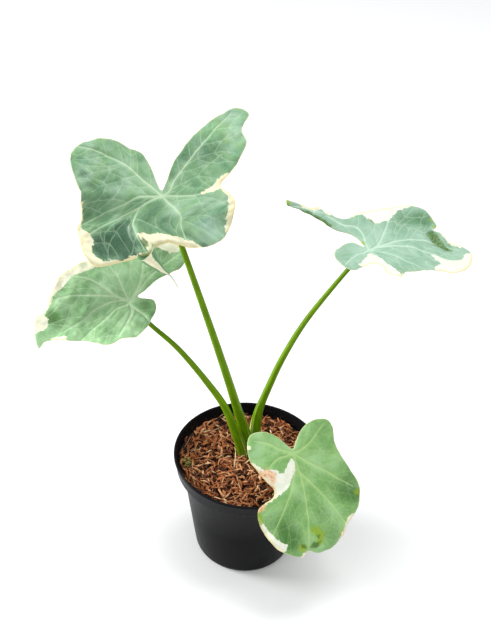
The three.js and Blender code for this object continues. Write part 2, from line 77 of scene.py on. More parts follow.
# %% Helpers for objects
def deselect():
    if bpy.context.object and bpy.context.object.mode != "OBJECT":
        bpy.ops.object.mode_set(mode="OBJECT")
    bpy.ops.object.select_all(action="DESELECT")


def only(piece):
    """Select one piece alone and make it active."""
    deselect()
    piece.select_set(True)
    bpy.context.view_layer.objects.active = piece


def named(name):
    """Name the object that a primitive operator has just made."""
    piece = bpy.context.object
    piece.name = piece.data.name = name
    return piece


def face_outwards(piece):
    """Turn all the faces of a closed piece outwards."""
    only(piece)
    bpy.ops.object.mode_set(mode="EDIT")
    bpy.ops.mesh.select_all(action="SELECT")
    bpy.ops.mesh.normals_make_consistent(inside=False)
    bpy.ops.object.mode_set(mode="OBJECT")


def smooth_faces(mesh):
    mesh.polygons.foreach_set("use_smooth", [True] * len(mesh.polygons))


def grow_body(name, sides, foot, rings):
    """A closed round body that grows from a disc through rings of (radius, height) in millimetres."""
    deselect()
    radius, height = foot
    bpy.ops.mesh.primitive_circle_add(vertices=sides, radius=radius * MM, fill_type="NGON")
    body = named(name)
    body.location.z = height * MM
    only(body)
    bpy.ops.object.transform_apply(location=True, rotation=True, scale=True)
    bpy.ops.object.mode_set(mode="EDIT")
    bpy.ops.mesh.select_mode(type="EDGE")
    bpy.ops.mesh.select_all(action="SELECT")
    for next_radius, next_height in rings:
        step = (0, 0, (next_height - height) * MM)
        bpy.ops.mesh.extrude_edges_move(TRANSFORM_OT_translate={"value": step})
        share = next_radius / radius
        centre = (0, 0, next_height * MM)
        bpy.ops.transform.resize(value=(share, share, 1), center_override=centre)
        radius, height = next_radius, next_height
    bpy.ops.mesh.edge_face_add()
    face_outwards(body)
    return body


def stands_for(piece, slot, *nodes):
    """Tie a piece to the part's one body, in place of solids where named. Its material slot is not used.
    """
    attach(piece, "root")
    if nodes:
        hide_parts(*nodes)


# %% [markdown]
# ## Floor and lamps
# The plant stands in a white studio. A bright sky and a floor that glows a little give the even light
# and leave only a faint shadow round the pot. The key lamp hangs above and a little behind, a weak one
# stands in front, and a low one on the left draws the edge of the pot.

# %% Floor and lamps
SKY = 0.58
SKY_COLOUR = (0.97, 0.985, 1, 1)
FLOOR_SIZE = 6
FLOOR_GLOW = 0.1
LAMP_AIM = Vector((0, 0, 0.2))
LAMPS = {
    "key": {"at": (0.28, 0.22, 2.0), "size": 1.0, "watts": 25},
    "front": {"at": (-0.9, -1.3, 1.6), "size": 1.4, "watts": 4},
    "side": {"at": (-1.3, 0.15, 0.45), "size": 0.6, "watts": 22},
}

deselect()
bpy.ops.mesh.primitive_plane_add(size=FLOOR_SIZE, location=(0, 0, 0))
floor = named("floor")
world = bpy.data.worlds.new("sky")
bpy.context.scene.world = world
world.use_nodes = True
background = world.node_tree.nodes["Background"].inputs
background["Color"].default_value = SKY_COLOUR
background["Strength"].default_value = SKY
for name, lamp in LAMPS.items():
    light = bpy.data.lights.new(name, "AREA")
    light.shape = "DISK"
    light.size = lamp["size"]
    light.energy = lamp["watts"]
    holder = bpy.data.objects.new(name, light)
    holder.location = lamp["at"]
    holder.rotation_euler = (LAMP_AIM - holder.location).to_track_quat("-Z", "Y").to_euler()
    bpy.context.collection.objects.link(holder)
bpy.context.scene.view_settings.view_transform = "Standard"
print("lamps:", ", ".join(LAMPS))

# %% [markdown]
# ## A few words for building materials
# A finish is a small network of nodes. The helpers keep each network readable: they add a node and fill
# or link its inputs, do arithmetic, lay coats of colour one over the other, and turn a number into a
# soft mask between two limits.

# %% Helpers for materials
def paint(*shade):
    """A colour as it shows on a screen, three numbers from 0 to 255, made linear."""
    linear = [((c / 255 + 0.055) / 1.055) ** 2.4 if c > 10 else c / 3295 for c in shade]
    return (*linear, 1)


class Network:
    """The nodes of one material or group, with short words for adding more."""

    def __init__(self, tree):
        self.tree = tree

    def fill(self, node, inputs):
        """Give a node's inputs plain values, or link them to sockets."""
        for name, value in inputs.items():
            if isinstance(value, bpy.types.NodeSocket):
                self.tree.links.new(value, node.inputs[name])
            else:
                node.inputs[name].default_value = value

    def add(self, kind, inputs=None, **options):
        made = self.tree.nodes.new("ShaderNode" + kind)
        for name, value in options.items():
            setattr(made, name, value)
        self.fill(made, inputs or {})
        return made.outputs

    def maths(self, operation, first, second=0.0, third=0.0):
        return self.add("Math", {0: first, 1: second, 2: third}, operation=operation)[0]

    def times(self, first, second):
        return self.maths("MULTIPLY", first, second)

    def plus(self, first, second, share=1.0):
        """The first value and a share of the second."""
        return self.maths("MULTIPLY_ADD", second, share, first)

    def centred(self, value):
        """A value that lies about one half, moved to lie about zero."""
        return self.maths("SUBTRACT", value, 0.5)

    def coats(self, colour, *coats):
        """A colour under coats of (share, colour), laid one after the other."""
        for share, coat in coats:
            colour = self.add("Mix", {0: share, 6: colour, 7: coat}, data_type="RGBA")[2]
        return colour

    def mask(self, value, start, end, strength=1.0):
        """0 at the start and the full strength at the end, with a soft step between."""
        low, high = (0.0, strength) if start < end else (strength, 0.0)
        inputs = {"Value": value, "To Min": low, "To Max": high}
        inputs.update({"From Min": min(start, end), "From Max": max(start, end)})
        return self.add("MapRange", inputs, interpolation_type="SMOOTHSTEP")[0]

    def noise(self, vector, scale, detail=2.0, rough=0.5):
        inputs = {"Vector": vector, "Scale": scale, "Detail": detail, "Roughness": rough}
        return self.add("TexNoise", inputs)[0]

    def attribute(self, name):
        return self.add("Attribute", attribute_name=name)["Fac"]

    def flat_map(self):
        return self.add("UVMap", uv_map="flat")[0]

    def place(self):
        return self.add("TexCoord")["Object"]

    def shared(self, name, values):
        """Place a node group with its own values."""
        return self.add("Group", values, node_tree=bpy.data.node_groups[name])

    def speckle(self, dark, light, scale, contrast):
        values = {"Dark": paint(*dark), "Light": paint(*light), "Scale": scale, "Contrast": contrast}
        return self.shared("Speckle", values)

    def bump(self, shader, height, distance, strength=1.0):
        inputs = {"Height": height, "Distance": distance, "Strength": strength}
        self.fill(shader, {"Normal": self.add("Bump", inputs)[0]})


def group(name, inputs, outputs):
    """A node group: its sockets are colours where the default is a tuple, and numbers elsewhere."""
    tree = bpy.data.node_groups.new(name, "ShaderNodeTree")
    for socket, value in inputs.items():
        kind = "NodeSocketColor" if isinstance(value, tuple) else "NodeSocketFloat"
        made = tree.interface.new_socket(socket, in_out="INPUT", socket_type=kind)
        made.default_value = value
    for socket, kind in outputs.items():
        tree.interface.new_socket(socket, in_out="OUTPUT", socket_type="NodeSocket" + kind)
    return Network(tree), tree.nodes.new("NodeGroupInput").outputs, tree.nodes.new("NodeGroupOutput")


def material(name):
    made = bpy.data.materials.new(name)
    made.use_nodes = True
    return made, Network(made.node_tree), made.node_tree.nodes["Principled BSDF"]


white, net, shader = material("studio_white")
net.fill(shader, {
    "Base Color": (0.9, 0.9, 0.9, 1), "Roughness": 0.9, "Specular IOR Level": 0.1,
    "Emission Color": (1, 1, 1, 1), "Emission Strength": FLOOR_GLOW,
})
floor.data.materials.append(white)
print("floor finish:", white.name)

# %% [markdown]
# ## Effects that several finishes share
# Fine speckle is what keeps plastic, bark and soil from looking poured. It is one group, placed in each
# of those materials with its own scale and contrast: a fine noise and a broad one, put together.

# %% Speckle
BROAD_SCALE = 0.13
FINE_SHARE = 0.55

net, given, out = group(
    "Speckle", {"Dark": (0, 0, 0, 1), "Light": (1, 1, 1, 1), "Scale": 100.0, "Contrast": 1.0},
    {"Color": "Color", "Value": "Float"},
)
place = net.place()
fine = net.noise(place, given["Scale"], 6, 0.65)
broad = net.noise(place, net.times(given["Scale"], BROAD_SCALE), 3)
both = net.plus(net.times(fine, FINE_SHARE), broad, 1 - FINE_SHARE)
value = net.plus(0.5, net.centred(both), given["Contrast"])
value = net.add("Clamp", {"Value": value})[0]
net.fill(out, {"Color": net.coats(given["Dark"], (value, given["Light"])), "Value": value})
print("group:", net.tree.name)

# %% [markdown]
# Leaf tissue is a second group, placed in all four blades and the funnel. It reads what the mesh says
# about its veins, its margin, its patches and its painted shade. One picture for each leaf could do
# the same, but a rule stays sharp from close by and serves every leaf. The green comes first: cloudy,
# with a pale bloom, painted shade in the folds, painted highlights on the brightest parts, and crossed
# by paler veins. Masks on rib and side vein run in half widths of the vein, and those on the edge in
# millimetres.

# %% Leaf tissue, green and veins
CLOUDS = 4.5
BLOOM = 4.2
MOTTLE = 42
GRAIN = 170
NET_CELLS = 30.0
# The bloom colour also paints the highlights, and Deep is the colour of the painted shade.
TISSUE_COLOURS = ("Light", "Dark", "Bloom", "Vein", "Cream", "Mint", "Under", "Margin", "Deep")

net, given, out = group(
    "Leaf tissue",
    {**dict.fromkeys(TISSUE_COLOURS, (1, 1, 1, 1)), "Bloom share": 0.5, "Side veins": 0.5, "Ragged": 7.0},
    {"Color": "Color", "Roughness": "Float", "Height": "Float"},
)
flat = net.flat_map()
fine = net.noise(flat, MOTTLE, 4, 0.6)
tone = net.plus(net.times(net.noise(flat, CLOUDS, 4), 0.75), fine, 0.25)
bloom = net.noise(flat, BLOOM, 5, 0.55)
shade = net.plus(net.attribute("shade"), net.centred(fine), 0.5)
side = net.maths("ABSOLUTE", net.attribute("side_vein"))
rib = net.maths("ABSOLUTE", net.attribute("rib"))
cells = net.add("TexVoronoi", {"Vector": flat, "Scale": NET_CELLS}, feature="DISTANCE_TO_EDGE")[0]
mesh_line = net.mask(cells, 0.09, 0.0, strength=0.05)
green = net.coats(
    given["Dark"],
    (net.mask(tone, 0.32, 0.66), given["Light"]),
    (net.mask(bloom, 0.42, 0.7, given["Bloom share"]), given["Bloom"]),
    # painted shade where the shade attribute is below zero, and a painted highlight where it is above
    (net.mask(shade, 0.0, -1.0, strength=0.85), given["Deep"]),
    (net.mask(shade, 0.05, 1.0, strength=0.8), given["Bloom"]),
    (mesh_line, given["Vein"]),
    (net.mask(rib, 4.2, 0.3, strength=0.22), given["Vein"]),
    (net.mask(side, 1.5, 0.4, given["Side veins"]), given["Vein"]),
    (net.mask(rib, 1.2, 0.35, strength=0.66), given["Vein"]),
)
print("group:", net.tree.name, "with", len(net.tree.nodes), "nodes so far")

# %% [markdown]
# Where the leaf has lost its green it is cream, with a ragged border, a mint haze round it and a dry
# margin. The underside has a colour of its own.

# %% Leaf tissue, cream and margin
CREAM_BORDER = 10
CREAM_CELLS = 52.0
CREAM_CLOUDS = 16

wide = net.centred(net.noise(flat, CREAM_BORDER, 5, 0.6))
cells = net.add("TexVoronoi", {"Vector": flat, "Scale": CREAM_CELLS})["Color"]
steps = net.centred(net.add("SeparateColor", {0: cells})[0])
cream = net.attribute("cream")
edge = net.attribute("edge")
ragged = net.plus(net.plus(cream, wide, given["Ragged"]), steps, 1.1)
haze = net.plus(net.plus(cream, net.times(wide, given["Ragged"]), 2.4), steps, 2.5)
below = net.coats(given["Under"], (net.times(fine, 0.5), given["Light"]))
pale = net.coats(
    given["Cream"],
    (net.mask(net.noise(flat, CREAM_CLOUDS, 5, 0.65), 0.42, 0.62, strength=0.4), given["Mint"]),
    (net.mask(edge, 3.4, 0.2, strength=0.7), given["Margin"]),
)
colour = net.coats(
    green,
    (net.times(net.attribute("under"), 0.85), below),
    (net.mask(haze, 0.2, 0.6, strength=0.4), given["Mint"]),
    (net.mask(ragged, -0.1, 0.25), pale),
    (net.mask(edge, 0.9, 0.3, strength=0.4), given["Margin"]),
)
print("group:", net.tree.name, "with", len(net.tree.nodes), "nodes so far")

# %% [markdown]
# Age shows last: scorched flecks in the cream, yellow spots where the green fades, and dark patches:
# painted shade where a fold turns, and bruised tissue. The surface is matte and finely grained.

# %% Leaf tissue, stains, painted fold shade and surface
FLECKS = 24
BURNS = 38

fleck = net.centred(net.noise(flat, FLECKS, 5, 0.65))
scorch = net.plus(net.attribute("scorch"), fleck, 1.6)
fading = net.plus(net.attribute("fading"), fleck, 0.9)
deep = net.plus(net.attribute("deep"), fleck, 1.5)
burn = net.mask(net.noise(flat, BURNS, 4, 0.6), 0.5, 0.64)
burnt = net.coats(paint(236, 184, 136), (burn, paint(186, 116, 56)))
# The dark patch colour is painted shade in folds and hollows, and the colour of bruised tissue.
fold_shade_and_bruise = net.coats(paint(44, 74, 14), (net.mask(fine, 0.4, 0.62), paint(92, 134, 40)))
colour = net.coats(
    colour,
    (net.mask(scorch, 0.3, 1.3, strength=0.8), burnt),
    (net.mask(fading, 0.2, 0.9, strength=0.8), paint(140, 168, 28)),
    (net.mask(deep, -1.2, 1.4, strength=0.85), fold_shade_and_bruise),
)
grain = net.plus(net.times(fine, 0.7), net.noise(flat, GRAIN, 3, 0.6), 0.3)
net.fill(out, {
    "Color": colour, "Roughness": net.plus(0.4, fine, 0.22), "Height": net.plus(grain, mesh_line, -1.2),
})
print("group:", net.tree.name, "with", len(net.tree.nodes), "nodes")

# %% [markdown]
# ## The pot
# A nursery pot is blown or moulded in thin black plastic: a tapered wall, a round foot with drainage
# holes, and a deep collar band under the lip. It could be a turned profile with a screw modifier. Here
# it grows from its base: a disc's edge is extruded and scaled ring by ring, up the outside, over the
# lip and down the inside, which keeps the wall thin and closed. The holes are then drilled.

# %% Pot shape
POT_SIDES = 160
POT_HEIGHT = 125
RIM_RADIUS = 75
BAND_FOOT = POT_HEIGHT - 17.5
BAND_FOOT_RADIUS = 72
WALL_TOP_RADIUS = 66
FOOT_RADIUS = 43.6
WALL = 1.6
SMOOTH_BELOW = math.radians(40)
DRAIN_COUNT = 8
DRAIN_RADIUS = 4.5
DRAIN_CIRCLE = 31
DRILL_DEPTH = 12
OUTSIDE = [
    (46.2, 0.5), (48.2, 2.0), (49.6, 4.4), (50.4, 7.4), (58, 57),
    (WALL_TOP_RADIUS - 0.3, BAND_FOOT - 1.2), (WALL_TOP_RADIUS + 0.6, BAND_FOOT),
    (BAND_FOOT_RADIUS - 0.9, BAND_FOOT), (BAND_FOOT_RADIUS, BAND_FOOT + 1),
    (73.4, POT_HEIGHT - 4.4), (74.6, POT_HEIGHT - 3.2), (RIM_RADIUS, POT_HEIGHT - 2),
]
LIP = [
    (RIM_RADIUS - 0.1, POT_HEIGHT - 0.8), (RIM_RADIUS - 0.7, POT_HEIGHT - 0.1),
    (RIM_RADIUS - 1.3, POT_HEIGHT), (RIM_RADIUS - 2.1, POT_HEIGHT - 0.3),
    (RIM_RADIUS - 2.6, POT_HEIGHT - 1.4),
]
INSIDE = [
    (RIM_RADIUS - 3, POT_HEIGHT - 4.4), (BAND_FOOT_RADIUS - WALL, BAND_FOOT + 2.6),
    (70, BAND_FOOT + 1.8), (65.2, BAND_FOOT + 0.6), (WALL_TOP_RADIUS - WALL, BAND_FOOT - 1),
    (56.4, 57), (48.8, 8.4), (46.6, 4), (43, 2.2),
]

pot = grow_body("nursery_pot", POT_SIDES, (FOOT_RADIUS, 0), OUTSIDE + LIP + INSIDE)
for i in range(DRAIN_COUNT):
    angle = (i + 0.5) / DRAIN_COUNT * 2 * math.pi
    place = (DRAIN_CIRCLE * MM * math.cos(angle), DRAIN_CIRCLE * MM * math.sin(angle), 0)
    deselect()
    bpy.ops.mesh.primitive_cylinder_add(
        vertices=32, radius=DRAIN_RADIUS * MM, depth=DRILL_DEPTH * MM, location=place)
    drill = named("drill")
    only(pot)
    cut = pot.modifiers.new("drain", "BOOLEAN")
    cut.operation = "DIFFERENCE"
    cut.object = drill
    cut.solver = "EXACT"
    bpy.ops.object.modifier_apply(modifier=cut.name)
    bpy.data.objects.remove(drill)
only(pot)
bpy.ops.object.shade_smooth_by_angle(angle=SMOOTH_BELOW)
stands_for(pot, "pot_plastic", "pot")
print("pot:", len(pot.data.polygons), "faces")

# %% [markdown]
# The plastic is nearly black and satin. Handling and dust leave it a little uneven, the collar band
# has a painted highlight that makes it lighter than the wall, and the inside near the bark carries
# specks of soil.

# %% Pot finish
CRUMBS_LOW, CRUMBS_SCALE = 111, 520

plastic, net, shader = material("black_nursery_plastic")
speck = net.speckle((4, 4, 6), (9, 8, 11), 260.0, 1.6)
place = net.place()
split = net.add("SeparateXYZ", {0: place})
squares = [net.maths("POWER", split[axis], 2) for axis in "XY"]
radius = net.maths("SQRT", net.plus(*squares))
band = net.mask(split["Z"], (BAND_FOOT - 1) * MM, (BAND_FOOT + 1.5) * MM)
inner = net.mask(radius, (RIM_RADIUS - 2.4) * MM, (RIM_RADIUS - 3.2) * MM, strength=band)
near_bark = net.mask(split["Z"], POT_HEIGHT * MM, CRUMBS_LOW * MM, strength=inner)
crumbs = net.mask(net.noise(place, CRUMBS_SCALE, 3, 0.6), 0.6, 0.68, strength=near_bark)
# The collar band's lighter coat is a painted highlight; the crumbs are real soil.
net.fill(shader, {
    "Base Color": net.coats(
        speck["Color"], (net.times(band, 0.5), paint(24, 25, 28)), (crumbs, paint(96, 74, 60))),
    "Roughness": net.plus(0.3, speck["Value"], 0.16), "Specular IOR Level": 0.06,
})
net.bump(shader, speck["Value"], 0.12 * MM, 0.5)
pot.data.materials.append(plastic)
print("finish:", plastic.name)

# %% [markdown]
# ## Soil and corm
# The potting mix and the corm inside it are hidden by the bark, except through the drainage holes and
# when the part is taken apart. Their solids have the right shape already, so they stay and only get
# finishes: dark crumbs for the mix, and a ringed tan skin for the corm.

# %% Soil and corm finishes
soil, net, shader = material("damp_potting_mix")
speck = net.speckle((22, 15, 11), (92, 66, 48), 320.0, 2.6)
net.fill(shader, {"Base Color": speck["Color"], "Roughness": 0.95})
net.bump(shader, speck["Value"], 1.2 * MM)

corm_skin, net, shader = material("ringed_corm_skin")
wave = {"Vector": net.place(), "Scale": 90.0, "Distortion": 3.0, "Detail": 3.0}
rings = net.add("TexWave", wave, bands_direction="Z")["Fac"]
speck = net.speckle((92, 62, 38), (176, 140, 98), 240.0, 1.8)
colour = net.coats(speck["Color"], (net.times(rings, 0.5), paint(70, 44, 28)))
net.fill(shader, {"Base Color": colour, "Roughness": 0.8})
net.bump(shader, rings, 0.8 * MM)

for node, finish in {"potting_mix": soil, "corm_with_roots": corm_skin}.items():
    solid = bpy.data.objects[node]
    solid.data.materials.clear()
    solid.data.materials.append(finish)
print("finishes:", soil.name, corm_skin.name)

# %% [markdown]
# ## The bark
# Shredded bark is a loose layer of thousands of splinters, each a bent, torn sliver. A particle system
# could scatter them. Here each place is drawn in a loop, which makes it easy to keep the slivers clear
# of the stems and the wall. Each layer is one mesh, because thousands of objects would be slow. A bed
# of fines closes the bark from below, so that no gap shows the soil, and it is painted nearly black as
# the shade in the gaps between slivers. The bed comes first: it grows like the pot, and its top is
# then shaped to the bark's low mound.

# %% Bark bed
BARK_EDGE_HEIGHT = 113
BARK_CENTRE_HEIGHT = 115.5
SOIL_TOP = 104
GAP = 0.35
BED_SIDES = 120
BED_FOOT_RADIUS = 63.4
BED_DROP = 4.4
BED_TOP = 112
BED_TOP_RINGS = 26
BED_ROUGHNESS = 0.5
BED_RADIUS = BAND_FOOT_RADIUS - WALL - GAP


def bark_height(x, y):
    """The height of the bark's mean surface in millimetres: a low mound with small swells."""
    radius, angle = np.hypot(x, y), np.arctan2(y, x)
    share = (radius / RIM_RADIUS) ** 2
    mound = BARK_CENTRE_HEIGHT + (BARK_EDGE_HEIGHT - BARK_CENTRE_HEIGHT) * share
    swells = np.sin(radius * 0.42 + 3 * angle) + np.sin(radius * 0.25 - 5 * angle + 1)
    return mound + 0.37 * (swells + np.sin(radius * 0.1 + 7 * angle))


bed_rings = [(64, 106.8), (69.4, 110.2), (BED_RADIUS, BED_TOP - 0.6)]
bed_rings += [(BED_RADIUS * share, BED_TOP) for share in np.linspace(0.97, 0.05, BED_TOP_RINGS)]
bed = grow_body("bark_bed", BED_SIDES, (BED_FOOT_RADIUS, SOIL_TOP + GAP), bed_rings)
for vertex in bed.data.vertices:
    if vertex.co.z > (BED_TOP - 0.5) * MM:
        x, y = vertex.co.x / MM, vertex.co.y / MM
        rough = math.sin(1.3 * x + 2 * math.sin(0.9 * y)) * math.sin(1.1 * y + 2 * math.sin(0.8 * x))
        vertex.co.z = (bark_height(x, y) - BED_DROP + BED_ROUGHNESS * rough) * MM
smooth_faces(bed.data)
print("bark bed:", len(bed.data.polygons), "faces")

# %% [markdown]
# A sliver is made from a cube that is cut along its length, tapered to both ends and twisted. Its bow
# is kept apart, because a long sliver bends more than a short one.

# %% Sliver shapes
SLIVER_CUTS = 6
SLIVERS = {  # bend, rise, twist, thickness, and width at both ends
    "chip": (0.06, 0.04, 0.4, 0.55, 0.5, 0.35),
    "splinter": (0.16, -0.05, 0.9, 0.8, 0.35, 0.12),
    "curl": (0.42, 0.12, 1.6, 0.5, 0.5, 0.2),
    "hook": (-0.75, 0.1, 0.7, 0.8, 0.35, 0.2),
    "flake": (0.1, 0.08, -0.8, 0.35, 0.7, 0.45),
    "arch": (-0.2, 0.28, 0.6, 0.8, 0.3, 0.3),
}


def sliver_shape(name, bend, rise, twist, thick, near, far):
    """A unit sliver along X, from -0.5 to 0.5: its points, its faces and its bow."""
    deselect()
    bpy.ops.mesh.primitive_cube_add(size=1)
    piece = named("sliver_" + name)
    bpy.ops.object.mode_set(mode="EDIT")
    for cut in range(1, SLIVER_CUTS):
        bpy.ops.mesh.select_all(action="SELECT")
        bpy.ops.mesh.bisect(plane_co=(cut / SLIVER_CUTS - 0.5, 0, 0), plane_no=(1, 0, 0))
    bpy.ops.mesh.select_all(action="SELECT")
    bpy.ops.mesh.quads_convert_to_tris()
    bpy.ops.object.mode_set(mode="OBJECT")
    for vertex in piece.data.vertices:
        x, y, z = vertex.co
        # Each end narrows to its own width, the far one more steadily.
        width = 1 - (1 - near) * max(0, -2 * x) ** 2 - (1 - far) * max(0, 2 * x) ** 1.5
        angle = twist * x
        y, z = y * width, z * width * thick
        y, z = y * math.cos(angle) - z * math.sin(angle), y * math.sin(angle) + z * math.cos(angle)
        vertex.co = (x, y, z)
    points = np.array([v.co for v in piece.data.vertices])
    faces = np.array([p.vertices for p in piece.data.polygons])
    bpy.data.objects.remove(piece)
    arch = 1 - 4 * points[:, 0] ** 2
    bow = np.stack([0 * arch, bend * arch, rise * arch], axis=1) / 4
    return points, faces, bow


sliver_shapes = [sliver_shape(name, *form) for name, form in SLIVERS.items()]
print("slivers:", len(sliver_shapes), "shapes of", len(sliver_shapes[0][1]), "faces")

# %% [markdown]
# The layer has stout chips below, then shreds, pale fibres on top and a few long strands. A small tuft
# of dry moss lies near the left wall. Sizes are in millimetres and tilt is in radians. Lift is how
# high the slivers lie one over the other, from the lowest, which is a little below the mean surface.
# The tone of each is drawn from a spread and is paler for one in five. It also rises with its height,
# as painted shade that darkens the low slivers in the gaps.

# %% Lay slivers
LAY_RADIUS = BAND_FOOT_RADIUS - WALL - 0.8
REACH_LIMIT = BAND_FOOT_RADIUS - WALL - 0.7
NEAR_WALL = 60
LOWEST = 2.4
# The last of these darkens the lower slivers, as painted shade.
DARKEST, SPREAD, SHADE_BY_HEIGHT = 0.04, 0.24, 0.5
PALE_SHARE, PALER_BY = 0.2, 0.32
BARK_SEED = 7681
BARK_LAYERS = {  # count, length, width, lift, tilt, pale
    "bark_chips": (1000, (5, 13), (1.3, 2.5), 3.6, 0.4, 0.0),
    "bark_shreds": (1150, (5, 15), (0.9, 1.8), 4.4, 0.42, 0.12),
    "bark_fibres": (500, (7, 20), (0.4, 0.8), 4.8, 0.34, 0.16),
    "bark_strands": (14, (30, 44), (0.7, 1.2), 5.0, 0.05, 0.5),
}
MOSS = (90, (3, 7), (0.5, 1.1), 5.2, 0.8, 0.0)
MOSS_MIDDLE, MOSS_SPREAD = (-60.0, -8.0), 2.8
# The middle of each petiole's foot, and the room it needs.
STEM_FEET = [(-6, 7, 6.5), (-1, 17.3, 7), (7, 25.5, 6.5), (10.5, 9, 5)]


def make_piece(name, points, faces, finish, flat, **values):
    """A smooth mesh piece from points in millimetres, with a flat map and number attributes."""
    mesh = bpy.data.meshes.new(name)
    mesh.from_pydata((np.asarray(points) * MM).tolist(), [], np.asarray(faces).tolist())
    corners = np.empty(len(mesh.loops), int)
    mesh.loops.foreach_get("vertex_index", corners)
    mesh.uv_layers.new(name="flat").data.foreach_set("uv", flat[corners].astype("f").ravel())
    for label, numbers in values.items():
        layer = mesh.attributes.new(label, "FLOAT", "POINT")
        layer.data.foreach_set("value", np.asarray(numbers, "f"))
    smooth_faces(mesh)
    mesh.materials.append(finish)
    mesh.validate()
    piece = bpy.data.objects.new(name, mesh)
    bpy.context.collection.objects.link(piece)
    return piece


def drop(draw, lengths, widths, near):
    """Where one sliver falls: middle, turn and size, or nothing where a stem or the wall is in its way."""
    length = draw.uniform(*lengths) * draw.uniform(0.6, 1)
    width = draw.uniform(*widths)
    radius = LAY_RADIUS * math.sqrt(draw.random())
    angle = draw.uniform(0, 2 * math.pi)
    x, y = radius * math.cos(angle), radius * math.sin(angle)
    if near:
        x, y = draw.normal(*near)
    turn = draw.uniform(0, 2 * math.pi)
    if radius > NEAR_WALL:
        turn = angle + math.pi / 2 + draw.normal(0, 0.5)
    clear = all(math.hypot(x - foot_x, y - foot_y) > room for foot_x, foot_y, room in STEM_FEET)
    ends = [(x + half * math.cos(turn), y + half * math.sin(turn)) for half in (-length / 2, length / 2)]
    fits = max(math.hypot(*end) for end in ends) <= REACH_LIMIT
    return (x, y, turn, length, width) if clear and fits else None


def lay(name, layer, finish, seed, near=None):
    """Scatter the slivers of one layer over the bed, or near one spot of it."""
    count, lengths, widths, lift, tilt, pale = layer
    draw = np.random.default_rng(seed)
    points, faces, tone, fibre = [], [], [], []
    total = 0
    while len(faces) < count:
        fallen = drop(draw, lengths, widths, near)
        if fallen is None:
            continue
        x, y, turn, length, width = fallen
        shape, shape_faces, bow = sliver_shapes[draw.integers(len(sliver_shapes))]
        level = draw.random() ** 1.3
        spin = Matrix.Rotation(turn, 3, "Z") @ Matrix.Rotation(draw.normal(0, tilt), 3, "Y")
        spin = spin @ Matrix.Rotation(draw.uniform(-0.6, 0.6), 3, "X")
        size = np.array([length, width, width * draw.uniform(0.6, 1)])
        place = (shape * size + bow * length) @ np.array(spin).T
        points.append(place + [x, y, float(bark_height(x, y)) - LOWEST + lift * level])
        faces.append(shape_faces + total)
        total += len(shape)
        # Lower slivers are darker: painted shade in the gaps.
        hue = DARKEST + SPREAD * draw.random() + SHADE_BY_HEIGHT * level + pale
        hue += PALER_BY if draw.random() < PALE_SHARE else 0
        tone.append(np.full(len(shape), hue))
        fibre.append(shape[:, :2] * [length, width] / 10 + draw.uniform(0, 40, 2))
    piece = make_piece(
        name, np.vstack(points), np.vstack(faces), finish, np.vstack(fibre), tone=np.concatenate(tone))
    print(name, len(piece.data.polygons), "faces")
    return piece


print("room for slivers:", LAY_RADIUS, "mm round the middle")

# %% [markdown]
# Wet heartwood is dark, torn fibre pale, and the ramp runs between them by each sliver's own tone and
# by streaks along it. The tone holds painted shade that darkens the low slivers. The bed is darker
# still, painted nearly black as the shade in the gaps, and moss is a dull olive.

# %% Bark finishes and pieces
BARK_TONES = {
    0.0: (20, 12, 10), 0.2: (54, 33, 27), 0.4: (104, 61, 43), 0.6: (170, 100, 60),
    0.8: (218, 140, 86), 1.0: (236, 200, 156),
}

bark_finish, net, shader = material("shredded_bark")
stretched = net.add("Mapping", {"Vector": net.flat_map(), "Scale": (1.2, 14, 1)})[0]
streak = net.noise(stretched, 3, 4, 0.6)
ramp = net.tree.nodes.new("ShaderNodeValToRGB")
net.fill(ramp, {"Fac": net.plus(net.attribute("tone"), net.centred(streak), 1.1)})
while len(ramp.color_ramp.elements) < len(BARK_TONES):
    ramp.color_ramp.elements.new(0.5)
for element, (position, shade) in zip(ramp.color_ramp.elements, BARK_TONES.items()):
    element.position = position
    element.color = paint(*shade)
net.fill(shader, {"Base Color": ramp.outputs[0], "Roughness": 0.85, "Specular IOR Level": 0.2})
net.bump(shader, streak, 0.6 * MM)

moss_finish, net, shader = material("dry_moss")
# The moss's tone carries the same painted shade by height.
moss_tone = net.mask(net.attribute("tone"), 0.1, 0.8)
colour = net.coats(paint(52, 48, 16), (moss_tone, paint(172, 160, 84)))
net.fill(shader, {"Base Color": colour, "Roughness": 0.9})

# The bed's near black is painted shade in the gaps between slivers.
fines_and_gap_shade, net, shader = material("bark_fines_and_gap_shade")
speck = net.speckle((10, 6, 5), (52, 32, 22), 420.0, 2.4)
net.fill(shader, {"Base Color": speck["Color"], "Roughness": 0.95})
bed.data.materials.append(fines_and_gap_shade)

stands_for(bed, "bark", "bark_mulch")
for number, (name, layer) in enumerate(BARK_LAYERS.items()):
    stands_for(lay(name, layer, bark_finish, BARK_SEED + number), "bark")
tuft = lay("moss_tuft", MOSS, moss_finish, BARK_SEED + len(BARK_LAYERS), (MOSS_MIDDLE, MOSS_SPREAD))
stands_for(tuft, "bark")

# %% [markdown]
# ## How a leaf is shaped
# An alocasia blade is one thin sheet: a midrib that droops to the tip, two halves that rise from it and
# curl over, and two lobes behind the place where the petiole meets it. No primitive comes near it, so
# its middle sheet is a formula, the one the solid model uses: a flat point is carried along the bent
# midrib, then out across its own half. The flat outline is filled with a net of small triangles, which
# is laid on that sheet, thickened, and given ribs below, grooves above and a soft roll at the margin.

# %% Curves in the flat
SPAN_POINTS = 24


def unit(vector):
    return vector / np.linalg.norm(vector)


def run_along(path):
    """The length of a path up to each of its points."""
    return np.concatenate([[0], np.cumsum(np.linalg.norm(np.diff(path, axis=0), axis=1))])


def wrapped(angles):
    """Angles brought to between minus and plus half a turn."""
    return np.angle(np.exp(1j * angles))


